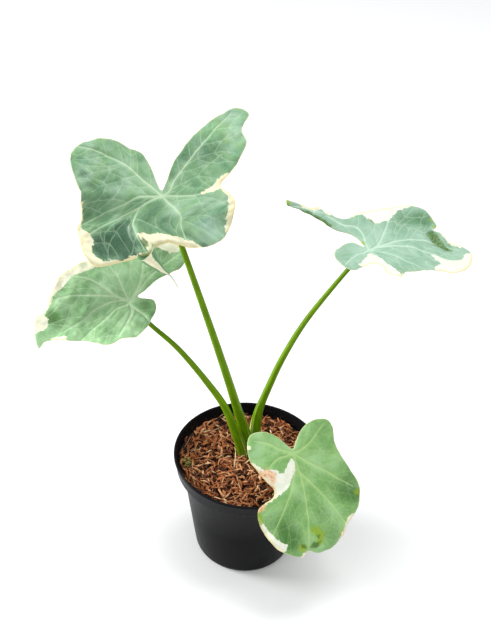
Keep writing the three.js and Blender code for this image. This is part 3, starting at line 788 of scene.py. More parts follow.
def eased(rows, x, column):
    """The value of a column at x, with a smooth step from each row to the next."""
    value = np.full(np.shape(x), float(rows[0][column]))
    for low, high in zip(rows, rows[1:]):
        share = np.clip((x - low[0]) / (high[0] - low[0]), 0, 1)
        step = share * share * (3 - 2 * share)
        value = np.where(x >= low[0], low[column] + (high[column] - low[column]) * step, value)
    return value


def passing(t, start, end, first, second):
    """A value that is the first at the start and the second at the end."""
    return (end - t) / (end - start) * first + (t - start) / (end - start) * second


def smooth_line(corners, spacing, closed=False):
    """A curve through the corners (centripetal Catmull-Rom), as evenly spaced points."""
    corners = np.asarray(corners, float)
    if closed:
        ring = np.vstack([corners[-1:], corners, corners[:2]])
    else:
        ring = np.vstack([2 * corners[0] - corners[1], corners, 2 * corners[-1] - corners[-2]])
    dense = []
    for p0, p1, p2, p3 in zip(ring, ring[1:], ring[2:], ring[3:]):
        gaps = [max(np.linalg.norm(b - a), 1e-6) ** 0.5 for a, b in ((p0, p1), (p1, p2), (p2, p3))]
        t0, t1, t2, t3 = np.cumsum([0] + gaps)
        t = np.linspace(t1, t2, SPAN_POINTS, endpoint=False)[:, None]
        a1 = passing(t, t0, t1, p0, p1)
        a2 = passing(t, t1, t2, p1, p2)
        a3 = passing(t, t2, t3, p2, p3)
        b1 = passing(t, t0, t2, a1, a2)
        b2 = passing(t, t1, t3, a2, a3)
        dense.append(passing(t, t1, t2, b1, b2))
    dense = np.vstack(dense + [ring[-2:-1]])
    run = run_along(dense)
    at = np.linspace(0, run[-1], max(2, round(run[-1] / spacing)) + 1)
    even = np.stack([np.interp(at, run, dense[:, k]) for k in range(dense.shape[1])], axis=1)
    return even[:-1] if closed else even


print("a test line of 30 mm in steps of 1 mm:", len(smooth_line([(0, 0), (30, 0)], 1)), "points")

# %% Distances in the flat
FAR_OUTSIDE = -9.0
BATCH = 200000


def away_from(points, line, closed=False):
    """Distance from each point to a line, signed for its side, and the share of its length reached."""
    ends = np.roll(line, -1, axis=0) if closed else line[1:]
    starts = line if closed else line[:-1]
    along = ends - starts
    signed, reached = np.empty(len(points)), np.empty(len(points))
    batch = max(1, BATCH // len(starts))
    for first in range(0, len(points), batch):
        off_x = points[first:first + batch, :1] - starts[:, 0]
        off_y = points[first:first + batch, 1:] - starts[:, 1]
        share = (off_x * along[:, 0] + off_y * along[:, 1]) / (along ** 2).sum(axis=1)
        share = np.clip(share, 0, 1)
        off_x -= share * along[:, 0]
        off_y -= share * along[:, 1]
        distance = off_x ** 2 + off_y ** 2
        row, nearest = np.arange(len(distance)), distance.argmin(axis=1)
        side = along[nearest, 0] * off_y[row, nearest] - along[nearest, 1] * off_x[row, nearest]
        signed[first:first + batch] = np.sqrt(distance[row, nearest]) * np.where(side < 0, -1, 1)
        reached[first:first + batch] = (nearest + share[row, nearest]) / len(starts)
    return signed, reached


def from_ring(points, ring):
    """Distance from each point to a closed ring."""
    return np.abs(away_from(points, ring, closed=True)[0])


def inside(points, ring):
    """Whether each point lies inside a closed ring."""
    after = np.roll(ring, -1, axis=0)
    rise = after[:, 1] - ring[:, 1]
    rise = np.where(np.abs(rise) < 1e-12, 1e-12, rise)
    within = np.empty(len(points), bool)
    batch = max(1, BATCH // len(ring))
    for first in range(0, len(points), batch):
        x, y = points[first:first + batch, :1], points[first:first + batch, 1:]
        crosses = (ring[:, 1] > y) != (after[:, 1] > y)
        crosses &= x < ring[:, 0] + (y - ring[:, 1]) * (after[:, 0] - ring[:, 0]) / rise
        within[first:first + batch] = crosses.sum(axis=1) % 2 == 1
    return within


def patch_depth(points, rings):
    """How deep each point lies in the nearest of several patches, and below zero outside them."""
    depth = np.full(len(points), FAR_OUTSIDE)
    for ring in rings:
        ring = np.array(ring, float)
        distance = from_ring(points, ring)
        depth = np.maximum(depth, np.where(inside(points, ring), distance, -distance))
    return depth


def spots(points, places):
    """The sum of round soft spots, each (u, v, radius) or (u, v, radius, amount)."""
    value = np.zeros(len(points))
    for u, v, size, *amount in places:
        off = (points[:, 0] - u) ** 2 + (points[:, 1] - v) ** 2
        value += (amount or [1])[0] * np.exp(-off / size ** 2)
    return value


corner = np.array([(0.0, 0.0), (10.0, 0.0), (0.0, 10.0)])
print("depth of a point in a test patch:", patch_depth(np.array([(2.0, 3.0)]), [corner])[0], "mm")

# %% [markdown]
# Each leaf is described by numbers, in millimetres and degrees. Those of its shape are the solid
# model's, but for the rear lobe of the right leaf, which is a little narrower here. The rest were read
# off the leaf. The hub is where the petiole meets the blade. Heading is the compass angle of the tip,
# pitch its slope at the hub and roll a turn about the midrib. Droop and rise bend the midrib, in
# degrees for each 100 mm. Fold and cup hold (v, left, right): the slope of each half and how much it
# curls up. Sway holds (v, sideways shift), lift (angle round the hub, height at 100 mm), and cockle is
# the strength of the swells. Outlines, ribs, side veins and patches are flat points (u, v), with v
# towards the tip. Roll under marks where the margin turns down. Deep patches are painted shade in
# folds and hollows, and a few dark spots in the tissue. Shade, fading and scorch hold round spots
# (u, v, radius, amount). Shade is painted light: below zero it is painted shade and presses the sheet
# in, above zero a painted highlight that lifts it. Side share is how well the side veins show. The
# stalk is the path of the petiole, with its radii at foot and top.

# %% What the leaves share
PLAIN_LEAF = {
    "roll": 0, "sway": [(0, 0), (1, 0)], "lift": [(-180, 0), (0, 0)], "roll_under": [], "deep": [],
    "fading": [], "scorch": [], "side_share": 0.28, "ragged": 6.0,
}
LEAVES = {}
print("a plain leaf has", len(PLAIN_LEAF), "values")

# %% [markdown]
# The upper left leaf is the largest. Two long ears stand behind its hub, and its front rolls up
# round the funnel.

# %% The upper left leaf
LEAVES["upper_left"] = PLAIN_LEAF | {
    "slot": "leaf_green", "hub": (-90.6, 20, 408), "heading": -86, "pitch": -34, "droop": 16, "rise": -4,
    "cockle": 1.0, "stalk_radii": (5.6, 2.6), "wing": 1.6,
    "fold": [(-60, 6, 6), (0, 6, 6), (22, 16, -30), (60, 16, -36)],
    "cup": [(-60, 6, 6), (0, 4, 4), (26, -44, 62), (60, -44, 72)],
    "sway": [(0, 0), (27, 20), (62, 4), (110, -20)],
    "outline": [
        (0, -6), (-4, -15), (-10, -33), (-29, -61), (-51, -77), (-66, -83), (-76, -77), (-70, -61),
        (-74, -48), (-65, -28), (-58, -18), (-51, -9), (-60, 0), (-76, 16), (-81, 24), (-76, 34),
        (-58, 44), (-38, 47), (-20, 43), (-8, 46), (1, 52), (15, 54), (35, 58), (56, 61), (62, 52),
        (56, 36), (56, 20), (67, 6), (76, -12), (80, -32), (72, -43), (48, -51), (32, -45), (19, -40),
        (12, -31), (5, -14),
    ],
    "ribs": [
        [(0, -1), (14, -12), (28, -24), (42, -32), (57, -38), (74, -40)],
        [(0, 0), (12, 1), (20, 2), (28, 8), (39, 14), (52, 22)],
        [(0, 0), (8, 5), (14, 11), (22, 17), (38, 28), (50, 36)],
        [(0, 0), (8, 4), (12, 10), (10, 16), (6, 24), (4, 34), (6, 48)],
        [(0, 0), (-10, 7), (-22, 13), (-36, 22), (-38, 34), (-36, 44)],
        [(0, -1), (-15, 0), (-33, -1), (-46, -3)],
        [(0, -1), (-6, -4), (-11, -15), (-18, -26), (-34, -48), (-48, -65), (-60, -78)],
    ],
    "sides": [
        [(9, 6), (14, 12), (16, 23), (24, 33), (35, 43), (44, 56)],
        [(22, -18), (32, -14), (41, -10), (52, -5), (64, 3)], [(33, -26), (47, -21), (68, -14)],
        [(54, -4), (62, -10), (70, -18)], [(28, -24), (28, -38), (28, -46)],
        [(-20, -29), (-39, -39), (-51, -41), (-64, -39)], [(-6, -4), (-19, -12), (-30, -17), (-46, -16)],
        [(-46, -62), (-58, -64), (-70, -64)], [(-36, 22), (-53, 19), (-68, 22), (-79, 26)],
    ],
    "cream": [
        [(64, 8), (60, 12), (55, 19), (52, 27), (45, 32), (44, 38), (50, 44), (54, 52), (47, 57), (30, 55),
         (15, 51.5), (0, 49), (-8, 43), (-12, 60), (60, 75), (85, 30)],
        [(2, 34), (-8, 35), (-21, 36), (-33, 38), (-42, 42), (-52, 52), (-20, 62), (4, 62)],
        [(-33, -1), (-43, -2), (-51, -5), (-62, 7), (-72, 17), (-76, 24), (-76, 31), (-90, 36), (-95, 8),
         (-66, -20), (-57, -20), (-51, -17), (-46, -10), (-39, -5)],
    ],
    "roll_under": [[(60, 40), (-44, 40), (-44, 70), (60, 70)]],
    "shade": [
        (14, 27, 8, -1.1), (16, 39, 9, -1.2), (22, 50, 9, -0.9), (33, 38, 12, -0.8), (44, 46, 10, -0.7),
        (50, -8, 22, -0.25), (56, 16, 12, -0.3), (-28, -44, 20, -0.5), (-52, -40, 12, -0.3),
        (-6, 18, 15, -0.5), (-25, 28, 9, -0.3), (-41, 36, 6, -0.6), (-50, 45, 5, -0.7), (0, 44, 5, -1.2),
        (60, -38, 5, -0.5), (50, -35, 5, -0.4), (68, -15, 4, -0.5), (62, -5, 4, -0.4),
        (-10, -18, 9, -0.5), (-20, -36, 9, -0.2), (-62, 28, 14, 0.9), (-42, 6, 12, 0.5),
        (-62, -72, 12, 0.35), (72, -28, 10, 0.2), (20, 0, 12, 0.1), (-60, -45, 10, 0.15),
    ],
    "deep": [[(-1, 38), (-3, 42), (-1, 46), (4, 47), (3, 41)]],
    "stalk": [
        (0.3, 17, 102), (-2, 17.5, 122), (-8, 17.5, 145), (-18.6, 17, 184), (-36.3, 17, 244),
        (-53.5, 17.5, 299.4), (-70.1, 18.3, 351.6), (-82.2, 19.1, 389.6), (-90.4, 20, 407.4),
    ],
    "tones": {
        "Light": (128, 168, 114), "Dark": (98, 144, 106), "Bloom": (154, 184, 170),
        "Vein": (188, 214, 178), "Under": (96, 138, 60), "Deep": (40, 82, 58), "Cream": (240, 231, 194),
    },
}
print("upper left leaf:", len(LEAVES["upper_left"]["outline"]), "points round it")

# %% [markdown]
# The lower left leaf is nearly flat, with its tip to the left and a broad cream band on one side.

# %% The lower left leaf
LEAVES["lower_left"] = PLAIN_LEAF | {
    "slot": "leaf_green", "hub": (-118.4, 8, 300), "heading": 213, "pitch": -8, "roll": -12, "droop": 14,
    "rise": 8, "cockle": 0.8, "stalk_radii": (5.2, 2.2), "wing": 1.6,
    "fold": [(-60, 14, 14), (0, 14, 14), (60, 10, 10)],
    "cup": [(-60, -12, -12), (0, -8, -8), (60, -8, -8)],
    "outline": [
        (1, -9), (-9, -19), (-22, -17), (-31, -9), (-40, 2), (-46, 14), (-40, 27), (-40, 39), (-31, 46),
        (-19, 57), (-14, 66), (-5, 76), (0, 85), (-3, 93), (6, 92), (20, 86), (27, 79), (28, 71),
        (36, 64), (46, 54), (55, 40), (56, 18), (56, -8), (59, -28), (54, -50), (42, -62), (29, -69),
        (16, -67), (10, -58), (10, -48), (9, -32), (4, -18),
    ],
    "ribs": [
        [(0, 0), (12, 0), (25, -1), (38, 0), (54, 4)], [(0, 0), (12, 10), (29, 18), (38, 24), (50, 38)],
        [(0, 0), (9, 9), (20, 28), (28, 42), (34, 60)],
        [(0, 0), (5, 8), (7, 22), (5, 35), (2, 44), (0, 66)],
        [(0, 0), (-3, 5), (-3, 15), (-9, 29), (-14, 44), (-18, 56)],
        [(0, 0), (-6, 2), (-13, 4), (-25, 14), (-36, 27)], [(-5, 2), (-14, 0), (-24, -3), (-36, -3)],
        [(0, 0), (11, -15), (22, -24), (30, -29), (48, -42)], [(0, -2), (11, -21), (17, -34), (24, -62)],
    ],
    "sides": [
        [(25, 38), (21, 48), (22, 62)], [(-20, 2), (-29, 14), (-37, 33)], [(7, 20), (12, 27), (14, 40)],
        [(36, 22), (46, 22), (55, 30)], [(-6, 26), (-4, 40), (-8, 60)],
    ],
    "cream": [
        [(26, 74), (31, 65), (40, 55), (44, 41), (48, 34), (46, 23), (44, 12), (46, 0), (49, -14),
         (50, -28), (46, -42), (37, -51), (29, -57), (27, -66), (30, -80), (72, -60), (78, 0), (72, 40),
         (40, 78)],
        [(31, 78), (24, 74), (18, 72), (12, 76), (11, 82), (14, 92), (26, 92), (36, 80)],
        [(1, 87), (-1.5, 82), (-2, 74), (-9, 66), (-18, 72), (-6, 90)],
    ],
    "roll_under": [[(60, 40), (30, 80), (60, 90), (80, 0), (60, -10), (50, 0)]],
    "shade": [
        (19, 68, 7, -0.9), (8, 66, 7, -0.5), (-12, -12, 9, -0.6), (-26, -8, 8, -0.4), (5, 10, 4, -0.5),
        (42, 48, 6, -0.5), (30, -52, 12, -0.5), (-10, 40, 16, -0.15), (24, 2, 14, 0.6), (20, 20, 14, 0.4),
        (-8, 66, 8, 0.3), (44, -20, 10, -0.3),
    ],
    "stalk": [
        (-4.7, 7, 102), (-7.5, 7, 120), (-15, 7.1, 145), (-25.7, 7.3, 176.3), (-43.2, 7.4, 206),
        (-73.7, 7.6, 248.5), (-99.6, 7.7, 275.2), (-111.6, 7.9, 289.5), (-118.2, 8, 299.2),
    ],
    "tones": {
        "Light": (154, 196, 140), "Dark": (122, 168, 116), "Bloom": (170, 206, 166),
        "Vein": (208, 230, 192), "Under": (92, 136, 62), "Deep": (56, 106, 32), "Cream": (240, 235, 208),
    },
}
print("lower left leaf:", len(LEAVES["lower_left"]["outline"]), "points round it")

# %% [markdown]
# The right leaf is pale and bluish. Its tip points right, and its far lobe is lifted.

# %% The right leaf
LEAVES["right"] = PLAIN_LEAF | {
    "slot": "leaf_pale", "hub": (97.5, 48, 345), "heading": 4, "pitch": -2, "droop": 8, "rise": 16,
    "cockle": 0.6, "stalk_radii": (5, 2.2), "wing": 3.2,
    "fold": [(-60, 20, 16), (0, 16, 16), (60, 12, 12)],
    "cup": [(-60, 0, -10), (0, -8, -10), (60, -8, -8)],
    "lift": [(-180, 40), (-165, 40), (-150, 26), (-138, 9), (-120, 0), (0, 0)],
    "outline": [
        (-4, -4), (-15, -12), (-19, -25), (-20, -43), (-16, -62), (-9, -80), (-5, -88), (-8, -89.5),
        (-18, -73), (-32, -53), (-38, -40), (-34, -30), (-37, -18), (-46, -8), (-50, 5), (-55, 19),
        (-62, 32), (-67, 50), (-63, 60), (-50, 66), (-42, 69), (-35, 65), (-31, 72), (-22, 78), (-19, 90),
        (-8, 99), (4, 97), (22, 87), (31, 75), (31, 62), (39, 38), (44, 28), (55, 19), (52, 11), (38, 6),
        (35, -1), (39, -8), (51, -22), (47, -30), (25, -35), (8, -32), (-5, -23), (-8, -14),
    ],
    "ribs": [
        [(0, 0), (-12, -3), (-19, -4), (-28, -10), (-28, -22), (-32, -38), (-26, -56), (-10, -80)],
        [(0, 0), (-6, 8), (-12, 12), (-28, 18), (-46, 24)],
        [(0, 0), (-9, 17), (-16, 33), (-20, 56), (-16, 68), (-12, 86)],
        [(-4, 8), (-8, 25), (-8, 38), (-3, 57), (2, 76)], [(0, 0), (4, 15), (16, 27), (26, 38), (34, 48)],
        [(0, 0), (10, 3), (21, 5), (38, 10), (54, 17)],
        [(0, 0), (8, -6), (16, -14), (34, -25), (42, -28)],
    ],
    "sides": [
        [(-20, 36), (-26, 39), (-34, 42), (-42, 56)], [(-24, 26), (-32, 28), (-47, 38), (-62, 48)],
        [(-18, 62), (-28, 55), (-44, 60)], [(10, 22), (14, 36), (20, 60)],
    ],
    "cream": [
        [(-34, -30), (-37, -18), (-41, -10), (-44, -3), (-37, 4), (-34, 11), (-38, 18), (-42, 23),
         (-50, 29), (-57, 35), (-64, 44), (-66, 54), (-85, 50), (-75, 5), (-55, -18), (-45, -36)],
        [(-17, -71), (-24, -60), (-32, -47), (-34, -34), (-45, -36), (-36, -66), (-20, -82)],
        [(-1, 57), (4, 60), (10, 62), (18, 64), (24, 58), (30, 55), (45, 60), (34, 84), (6, 104),
         (-12, 102), (-9, 97), (-6, 92), (0, 88), (4, 80), (4, 74), (0, 66)],
        [(-37, 64), (-31, 70), (-23, 75), (-18, 80), (-15, 90), (-22, 92), (-26, 80), (-34, 74)],
        [(37, -15), (26, -8), (15, -3), (9, 0), (14, 5), (22, 9), (32, 12.5), (41, 16), (49, 22), (46, 27),
         (52, 30), (65, 15), (50, 0), (44, -12)],
    ],
    "shade": [
        (-46, 40, 14, -0.6), (-50, 58, 10, -0.9), (-28, 61, 7, -0.7), (-18, 64, 6, -0.6),
        (-14, 78, 7, -0.5), (-36, 20, 12, -0.3), (26, -24, 7, -0.4), (42, 22, 8, -0.2), (12, 20, 12, 0.2),
        (-26, -36, 10, -0.2), (-8, 40, 10, 0.1),
    ],
    "deep": [
        [(-33, 63), (-28, 68), (-21, 71), (-14, 75), (-9, 80), (-8, 73), (-14, 66), (-23, 60), (-31, 59)],
        [(-23, -34), (-24, -46), (-19, -62), (-10, -78), (-4, -90), (6, -90), (-10, -56), (-14, -38)],
        [(-40, 2), (-38, 6), (-34, 8), (-36, 4)],
    ],
    "fading": [(-7, -87, 4), (-50, 66, 3), (-40, 68, 3), (-8, -5, 3)],
    "stalk": [
        (8.1, 25, 102), (7, 25.5, 120), (6.5, 26.5, 139), (8.6, 28, 161), (16.6, 30, 191.2),
        (26, 33.5, 219.8), (44, 37.1, 263.1), (67.9, 41.5, 305.1), (87, 45.6, 333.8), (97.2, 48, 344.2),
    ],
    "tones": {
        "Light": (150, 184, 157), "Dark": (127, 166, 139), "Bloom": (158, 189, 174),
        "Vein": (196, 221, 201), "Under": (72, 108, 30), "Deep": (66, 116, 70), "Cream": (234, 230, 214),
    },
}
print("right leaf:", len(LEAVES["right"]["outline"]), "points round it")

# %% [markdown]
# The front leaf hangs over the lip of the pot. It is bright green, with a scorched cream patch.

# %% The front leaf
LEAVES["front"] = PLAIN_LEAF | {
    "slot": "leaf_bright", "hub": (41, -39, 166), "heading": -74, "pitch": -44, "droop": 12, "rise": 10,
    "cockle": 0.8, "side_share": 0.2, "ragged": 3.5, "stalk_radii": (4.2, 2.2), "wing": 1.2,
    "fold": [(-60, 8, 8), (0, 8, 8), (60, 6, 6)],
    "cup": [(-60, -10, -10), (0, -8, -8), (60, -8, -8)],
    "outline": [
        (-1, -4), (-5, -11), (-10, -19), (-18, -26), (-27, -29), (-38, -27), (-42, -20), (-42, -5),
        (-46, 8), (-53, 22), (-60, 38), (-60, 50), (-55, 62), (-44, 75), (-38, 86), (-28, 95), (-14, 98),
        (-5, 96), (1, 100), (14, 96), (27, 87), (37, 72), (42, 58), (41, 48), (34, 43), (25, 39),
        (23, 33), (32, 20), (43, 2), (44, -12), (40, -22), (28, -24), (14, -18), (6, -10),
    ],
    "ribs": [
        [(0, 0), (-3, 13), (-6, 31), (-7, 51), (-7, 70), (-5, 94)],
        [(0, 0), (-16, 12), (-31, 22), (-41, 30), (-54, 39)],
        [(-4, 18), (-16, 33), (-27, 47), (-36, 61), (-44, 74)],
        [(-1, 15), (5, 32), (13, 48), (21, 62), (29, 74)], [(0, 0), (12, -5), (23, -12), (36, -16)],
        [(0, 0), (7, 2), (14, 3), (20, 6), (28, 14)],
        [(0, 0), (-8, -2), (-17, -7), (-27, -17), (-34, -24)],
    ],
    "sides": [
        [(-32, 54), (-30, 66), (-26, 80)], [(-7, 56), (2, 69), (8, 84)],
        [(-10, -4), (-27, -5), (-42, -2)], [(-7, 60), (-14, 70), (-22, 88)],
    ],
    "cream": [
        [(2, 4), (5, 8), (8, 12), (12, 17), (16, 17), (19, 14), (27, 12), (31, 12), (40, 4), (52, 4),
         (48, 30), (50, 52), (40, 48), (33, 44), (24, 41), (18, 37), (9, 32), (3, 23), (-1, 16), (-1, 8)],
        [(41, 56), (37, 62), (31, 72), (27, 77), (22, 82), (16, 85), (18, 92), (24, 98), (46, 74),
         (50, 52)],
        [(-50, 65), (-45, 68), (-42, 75), (-38, 82), (-34, 89), (-50, 92), (-64, 66)],
        [(48, -14), (41, -12), (41, -9), (48, -8)], [(2, 97), (-3, 95), (-7, 96), (-4, 104), (4, 104)],
    ],
    "roll_under": [[(30, 80), (-40, 84), (-40, 110), (30, 110)]],
    "shade": [
        (20, 68, 15, -0.7), (10, 84, 11, -0.7), (-48, 38, 14, -0.8), (-56, 50, 8, -0.5),
        (-20, 58, 10, -0.4), (-30, 82, 12, -0.4), (4, 50, 10, -0.3), (22, 44, 7, 0.4),
        (-28, -20, 10, -0.2), (32, -22, 6, 0.3), (-46, 14, 8, 0.2), (12, 6, 8, -0.1),
    ],
    "deep": [
        [(-10, 86), (-6, 91), (-10, 93), (-15, 91), (-18, 86), (-15, 87)],
        [(-13, 80), (-15, 84), (-17, 80)], [(2, 87), (2, 91), (-3, 92), (-2, 88)],
    ],
    "fading": [
        (-12, 75, 5), (-18, 80, 4), (-16, 87, 4), (-58, 45, 4), (41, 54, 4), (1, 91, 5), (40, 60, 3),
    ],
    "scorch": [
        (33, 15, 5), (27, 16, 5), (22, 18, 4), (24, 24, 4), (25, 31, 3.5), (40, 48, 4), (36, 46, 4),
        (-40, 82, 4),
    ],
    "stalk": [
        (10, 10, 102), (10.5, 9, 116), (14, 3, 132), (22, -9, 149), (32, -24, 161), (40.6, -38, 165.6),
    ],
    "tones": {
        "Light": (146, 192, 116), "Dark": (113, 163, 92), "Bloom": (168, 205, 160),
        "Vein": (180, 212, 138), "Under": (84, 132, 36), "Deep": (52, 104, 36), "Cream": (240, 239, 222),
    },
}
print("front leaf:", len(LEAVES["front"]["outline"]), "points round it")

# %% [markdown]
# Each flat point is then carried to its place. First it goes along the bent midrib, then out over its
# half, which starts at the fold's slope and curls steadily.

# %% The middle sheet
LIFT_START, LIFT_FULL = 28, 45


def arc(slope, curl, length):
    """How far a line that starts at a slope and curls steadily goes along and up."""
    curl = np.where(np.abs(curl) < 1e-7, 1e-7, curl)
    along = (np.sin(slope + curl * length) - np.sin(slope)) / curl
    return along, (np.cos(slope) - np.cos(slope + curl * length)) / curl


def sheet_point(leaf, u, v):
    heading, roll, pitch = (math.radians(leaf[k]) for k in ("heading", "roll", "pitch"))
    ahead = np.array([math.cos(heading), math.sin(heading), 0])
    level = np.array([math.sin(heading), -math.cos(heading), 0])
    right = level * math.cos(roll) - np.array([0, 0, math.sin(roll)])
    upright = level * math.sin(roll) + np.array([0, 0, math.cos(roll)])
    bend = np.radians(np.where(v > 0, -leaf["droop"], leaf["rise"])) / 100
    along, rise = arc(pitch, bend, v)
    slope = pitch + bend * v
    fold, curl = (
        np.radians(np.where(u < 0, eased(leaf[k], v, 1), eased(leaf[k], v, 2))) for k in ("fold", "cup"))
    aside, up = arc(fold, curl / 100, np.abs(u))
    aside = np.sign(u) * aside + eased(leaf["sway"], v, 1)
    reach = np.hypot(u, v)
    free = eased([(LIFT_START, 0), (LIFT_FULL, 1)], reach, 1)
    up = up + eased(leaf["lift"], np.degrees(np.arctan2(u, v)), 1) * (reach / 100) ** 2 * free
    forward = along - up * np.sin(slope)
    upward = rise + up * np.cos(slope)
    place = np.array(leaf["hub"]) + forward[:, None] * ahead + upward[:, None] * upright
    return place + aside[:, None] * right


def sheet_normal(leaf, u, v, step=0.8):
    across = sheet_point(leaf, u + step, v) - sheet_point(leaf, u - step, v)
    along = sheet_point(leaf, u, v + step) - sheet_point(leaf, u, v - step)
    normal = np.cross(across, along)
    return normal / np.linalg.norm(normal, axis=1)[:, None]


for name, leaf in LEAVES.items():
    tip = sheet_point(leaf, np.array([0.0]), np.array([80.0]))[0]
    print(name, "80 mm out along its midrib is at", np.round(tip).astype(int), "mm")

# %% [markdown]
# The main ribs and some side veins are read off each leaf. The rest are grown: they leave each rib in
# pairs, bend forward, and stop before the margin or the next rib, as real side veins do.

# %% Veins
SIDE_SPACING = 16
SIDE_ANGLE = math.radians(52)
SIDE_BEND = math.radians(1.3)
SIDE_STEP = 1.5
SIDE_STEPS = 34
FIRST_SIDE, LAST_SIDE = 12, 4
RIM_ROOM, RIB_ROOM = 1.5, 2.2
RIB_WIDTH = (1.1, 0.35)
SIDE_WIDTH = (0.5, 0.25)


def side_veins(ribs, rim):
    """Grow side veins from both sides of each rib."""
    starts, headings, hands, owners = [], [], [], []
    for number, rib in enumerate(ribs):
        for at in np.arange(FIRST_SIDE, len(rib) - LAST_SIDE, SIDE_SPACING).astype(int):
            along = rib[at + 1] - rib[at - 1]
            for hand in (1, -1):
                starts.append(rib[at])
                headings.append(math.atan2(along[1], along[0]) + hand * SIDE_ANGLE)
                hands.append(hand)
                owners.append(number)
    spot, heading, hand, owner = map(np.array, (starts, headings, hands, owners))
    paths = [[place] for place in spot]
    growing = np.ones(len(spot), bool)
    for step in range(SIDE_STEPS):
        heading = heading - hand * SIDE_BEND
        spot = spot + SIDE_STEP * np.stack([np.cos(heading), np.sin(heading)], axis=1)
        growing &= inside(spot, rim) & (from_ring(spot, rim) > RIM_ROOM)
        if step > 1:
            for number, rib in enumerate(ribs):
                growing &= (owner == number) | (np.abs(away_from(spot, rib)[0]) > RIB_ROOM)
        for index in np.flatnonzero(growing):
            paths[index].append(spot[index])
    return [np.array(path) for path in paths if len(path) > 4]


def nearest_line(points, lines, width):
    """Distance to the nearest of several lines, and that distance in half widths, steep far off."""
    distance = np.full(len(points), 99.0)
    share = np.full(len(points), 99.0)
    for line in lines:
        signed, reached = away_from(points, line)
        half = width[0] + (width[1] - width[0]) * reached
        nearer = np.abs(signed) < np.abs(distance)
        distance = np.where(nearer, signed, distance)
        share = np.where(nearer, signed / half, share)
    steep = np.abs(share) > 4
    share = np.where(steep, np.sign(share) * (4 + 40 * (np.abs(share) - 4)), share)
    return np.abs(distance), share


print("side veins every", SIDE_SPACING, "mm")

# %% [markdown]
# The margin wanders a little, as no leaf is cut clean, and the outline is filled with a net of about a
# millimetre. Swells, panels between the veins and the rolled margin move the sheet along its normal.

# %% Net and relief
NET = 0.95
TRIANGLE_HEIGHT = 0.866
JITTER = 0.12
WANDER = 0.25
GROOVE = 0.55
PILLOW = 0.35
FOLD_DEPTH = 1.6
GROOVE_WIDTH, PILLOW_WIDTH = 1.3, 1.7
SWELLS = [(1.2, 26), (0.55, 11)]
CALM_HUB = 40
MARGIN_SWELL, MARGIN_SWELL_LENGTH, MARGIN_WIDTH = 0.9, 17, 6
MARGIN_ROLL, FULL_ROLL, ROLL_WIDTH = 0.5, 2.6, 4


def ripple(points, length, seed):
    """Smooth swells of about a given wavelength, between -1 and 1 for the most part."""
    draw = np.random.default_rng(seed)
    value = np.zeros(len(points))
    for _ in range(7):
        angle, size = draw.uniform(0, math.pi), length * draw.uniform(0.7, 1.5)
        wave = points @ np.array([math.cos(angle), math.sin(angle)]) * 2 * math.pi / size
        value += np.sin(wave + draw.uniform(0, 2 * math.pi))
    return value / 4


def margin_of(leaf, seed):
    """The leaf's outline with a slight wander."""
    rim = smooth_line(leaf["outline"], NET, closed=True)
    wander = np.random.default_rng(seed).normal(0, WANDER, len(rim))
    wander = np.convolve(np.concatenate([wander[-2:], wander, wander[:2]]), np.ones(5) / 5, "valid")
    return rim * (1 + wander / np.maximum(np.hypot(rim[:, 0], rim[:, 1]), 15))[:, None]


def net_of(rim, seed):
    """Fill a flat outline with small triangles of about equal size."""
    draw = np.random.default_rng(seed)
    low, high = rim.min(axis=0), rim.max(axis=0)
    rows = np.arange(low[1], high[1], NET * TRIANGLE_HEIGHT)
    grid = np.array([
        (x + (NET / 2 if row % 2 else 0), y)
        for row, y in enumerate(rows) for x in np.arange(low[0], high[0], NET)
    ])
    grid = grid + draw.uniform(-JITTER, JITTER, grid.shape)
    grid = grid[inside(grid, rim)]
    grid = grid[from_ring(grid, rim) > NET * 0.5]
    points = np.vstack([rim, grid])
    count = len(rim)
    edges = [(k, (k + 1) % count) for k in range(count)]
    made = delaunay_2d_cdt([Vector(p) for p in points], edges, [], 1, 1e-6)
    return np.array([tuple(p) for p in made[0]]), np.array([tuple(f) for f in made[2]])


def relief_of(leaf, points, shade, side_off, rib_off, edge, seed):
    """How far each point of the sheet stands above the formula's middle, in millimetres."""
    relief = PILLOW * (1 - np.exp(-(np.minimum(side_off, rib_off) / PILLOW_WIDTH) ** 2))
    relief -= GROOVE * np.exp(-(rib_off / GROOVE_WIDTH) ** 2)
    swell = leaf["cockle"] * np.clip(np.hypot(points[:, 0], points[:, 1]) / CALM_HUB, 0, 1)
    height = sum(size * ripple(points, length, seed + k) for k, (size, length) in enumerate(SWELLS))
    relief += swell * height + FOLD_DEPTH * shade
    waves = ripple(points, MARGIN_SWELL_LENGTH, seed + len(SWELLS))
    relief += MARGIN_SWELL * waves * np.exp(-edge / MARGIN_WIDTH)
    rolled = np.clip(patch_depth(points, leaf["roll_under"]) / 3, 0, 1)
    return relief - (MARGIN_ROLL + FULL_ROLL * rolled) * np.clip(1 - edge / ROLL_WIDTH, 0, 1) ** 2


print("net of", NET, "mm, grooves", GROOVE, "mm deep")

# %% [markdown]
# The sheet gets two faces. The upper one carries the grooves, the lower one the ribs, and a row of
# triangles closes the margin. The mesh also carries what the tissue needs to know at each point.

# %% Build a blade
THICKNESS = 0.6
MARGIN_SHARE = 0.45
RIB_HEIGHT = 1.4
RIB_LENGTH = 95
PANEL_SHADE, PANEL_REACH = 0.2, 9


def closed_sheet(faces, count):
    """The faces of both sides of a sheet, and those along its border."""
    border = []
    seen = set(map(tuple, np.vstack([faces[:, [0, 1]], faces[:, [1, 2]], faces[:, [2, 0]]])))
    for a, b in seen:
        if (b, a) not in seen:
            border += [(b, a, a + count), (b, a + count, b + count)]
    return np.vstack([faces, faces[:, ::-1] + count, np.array(border)])


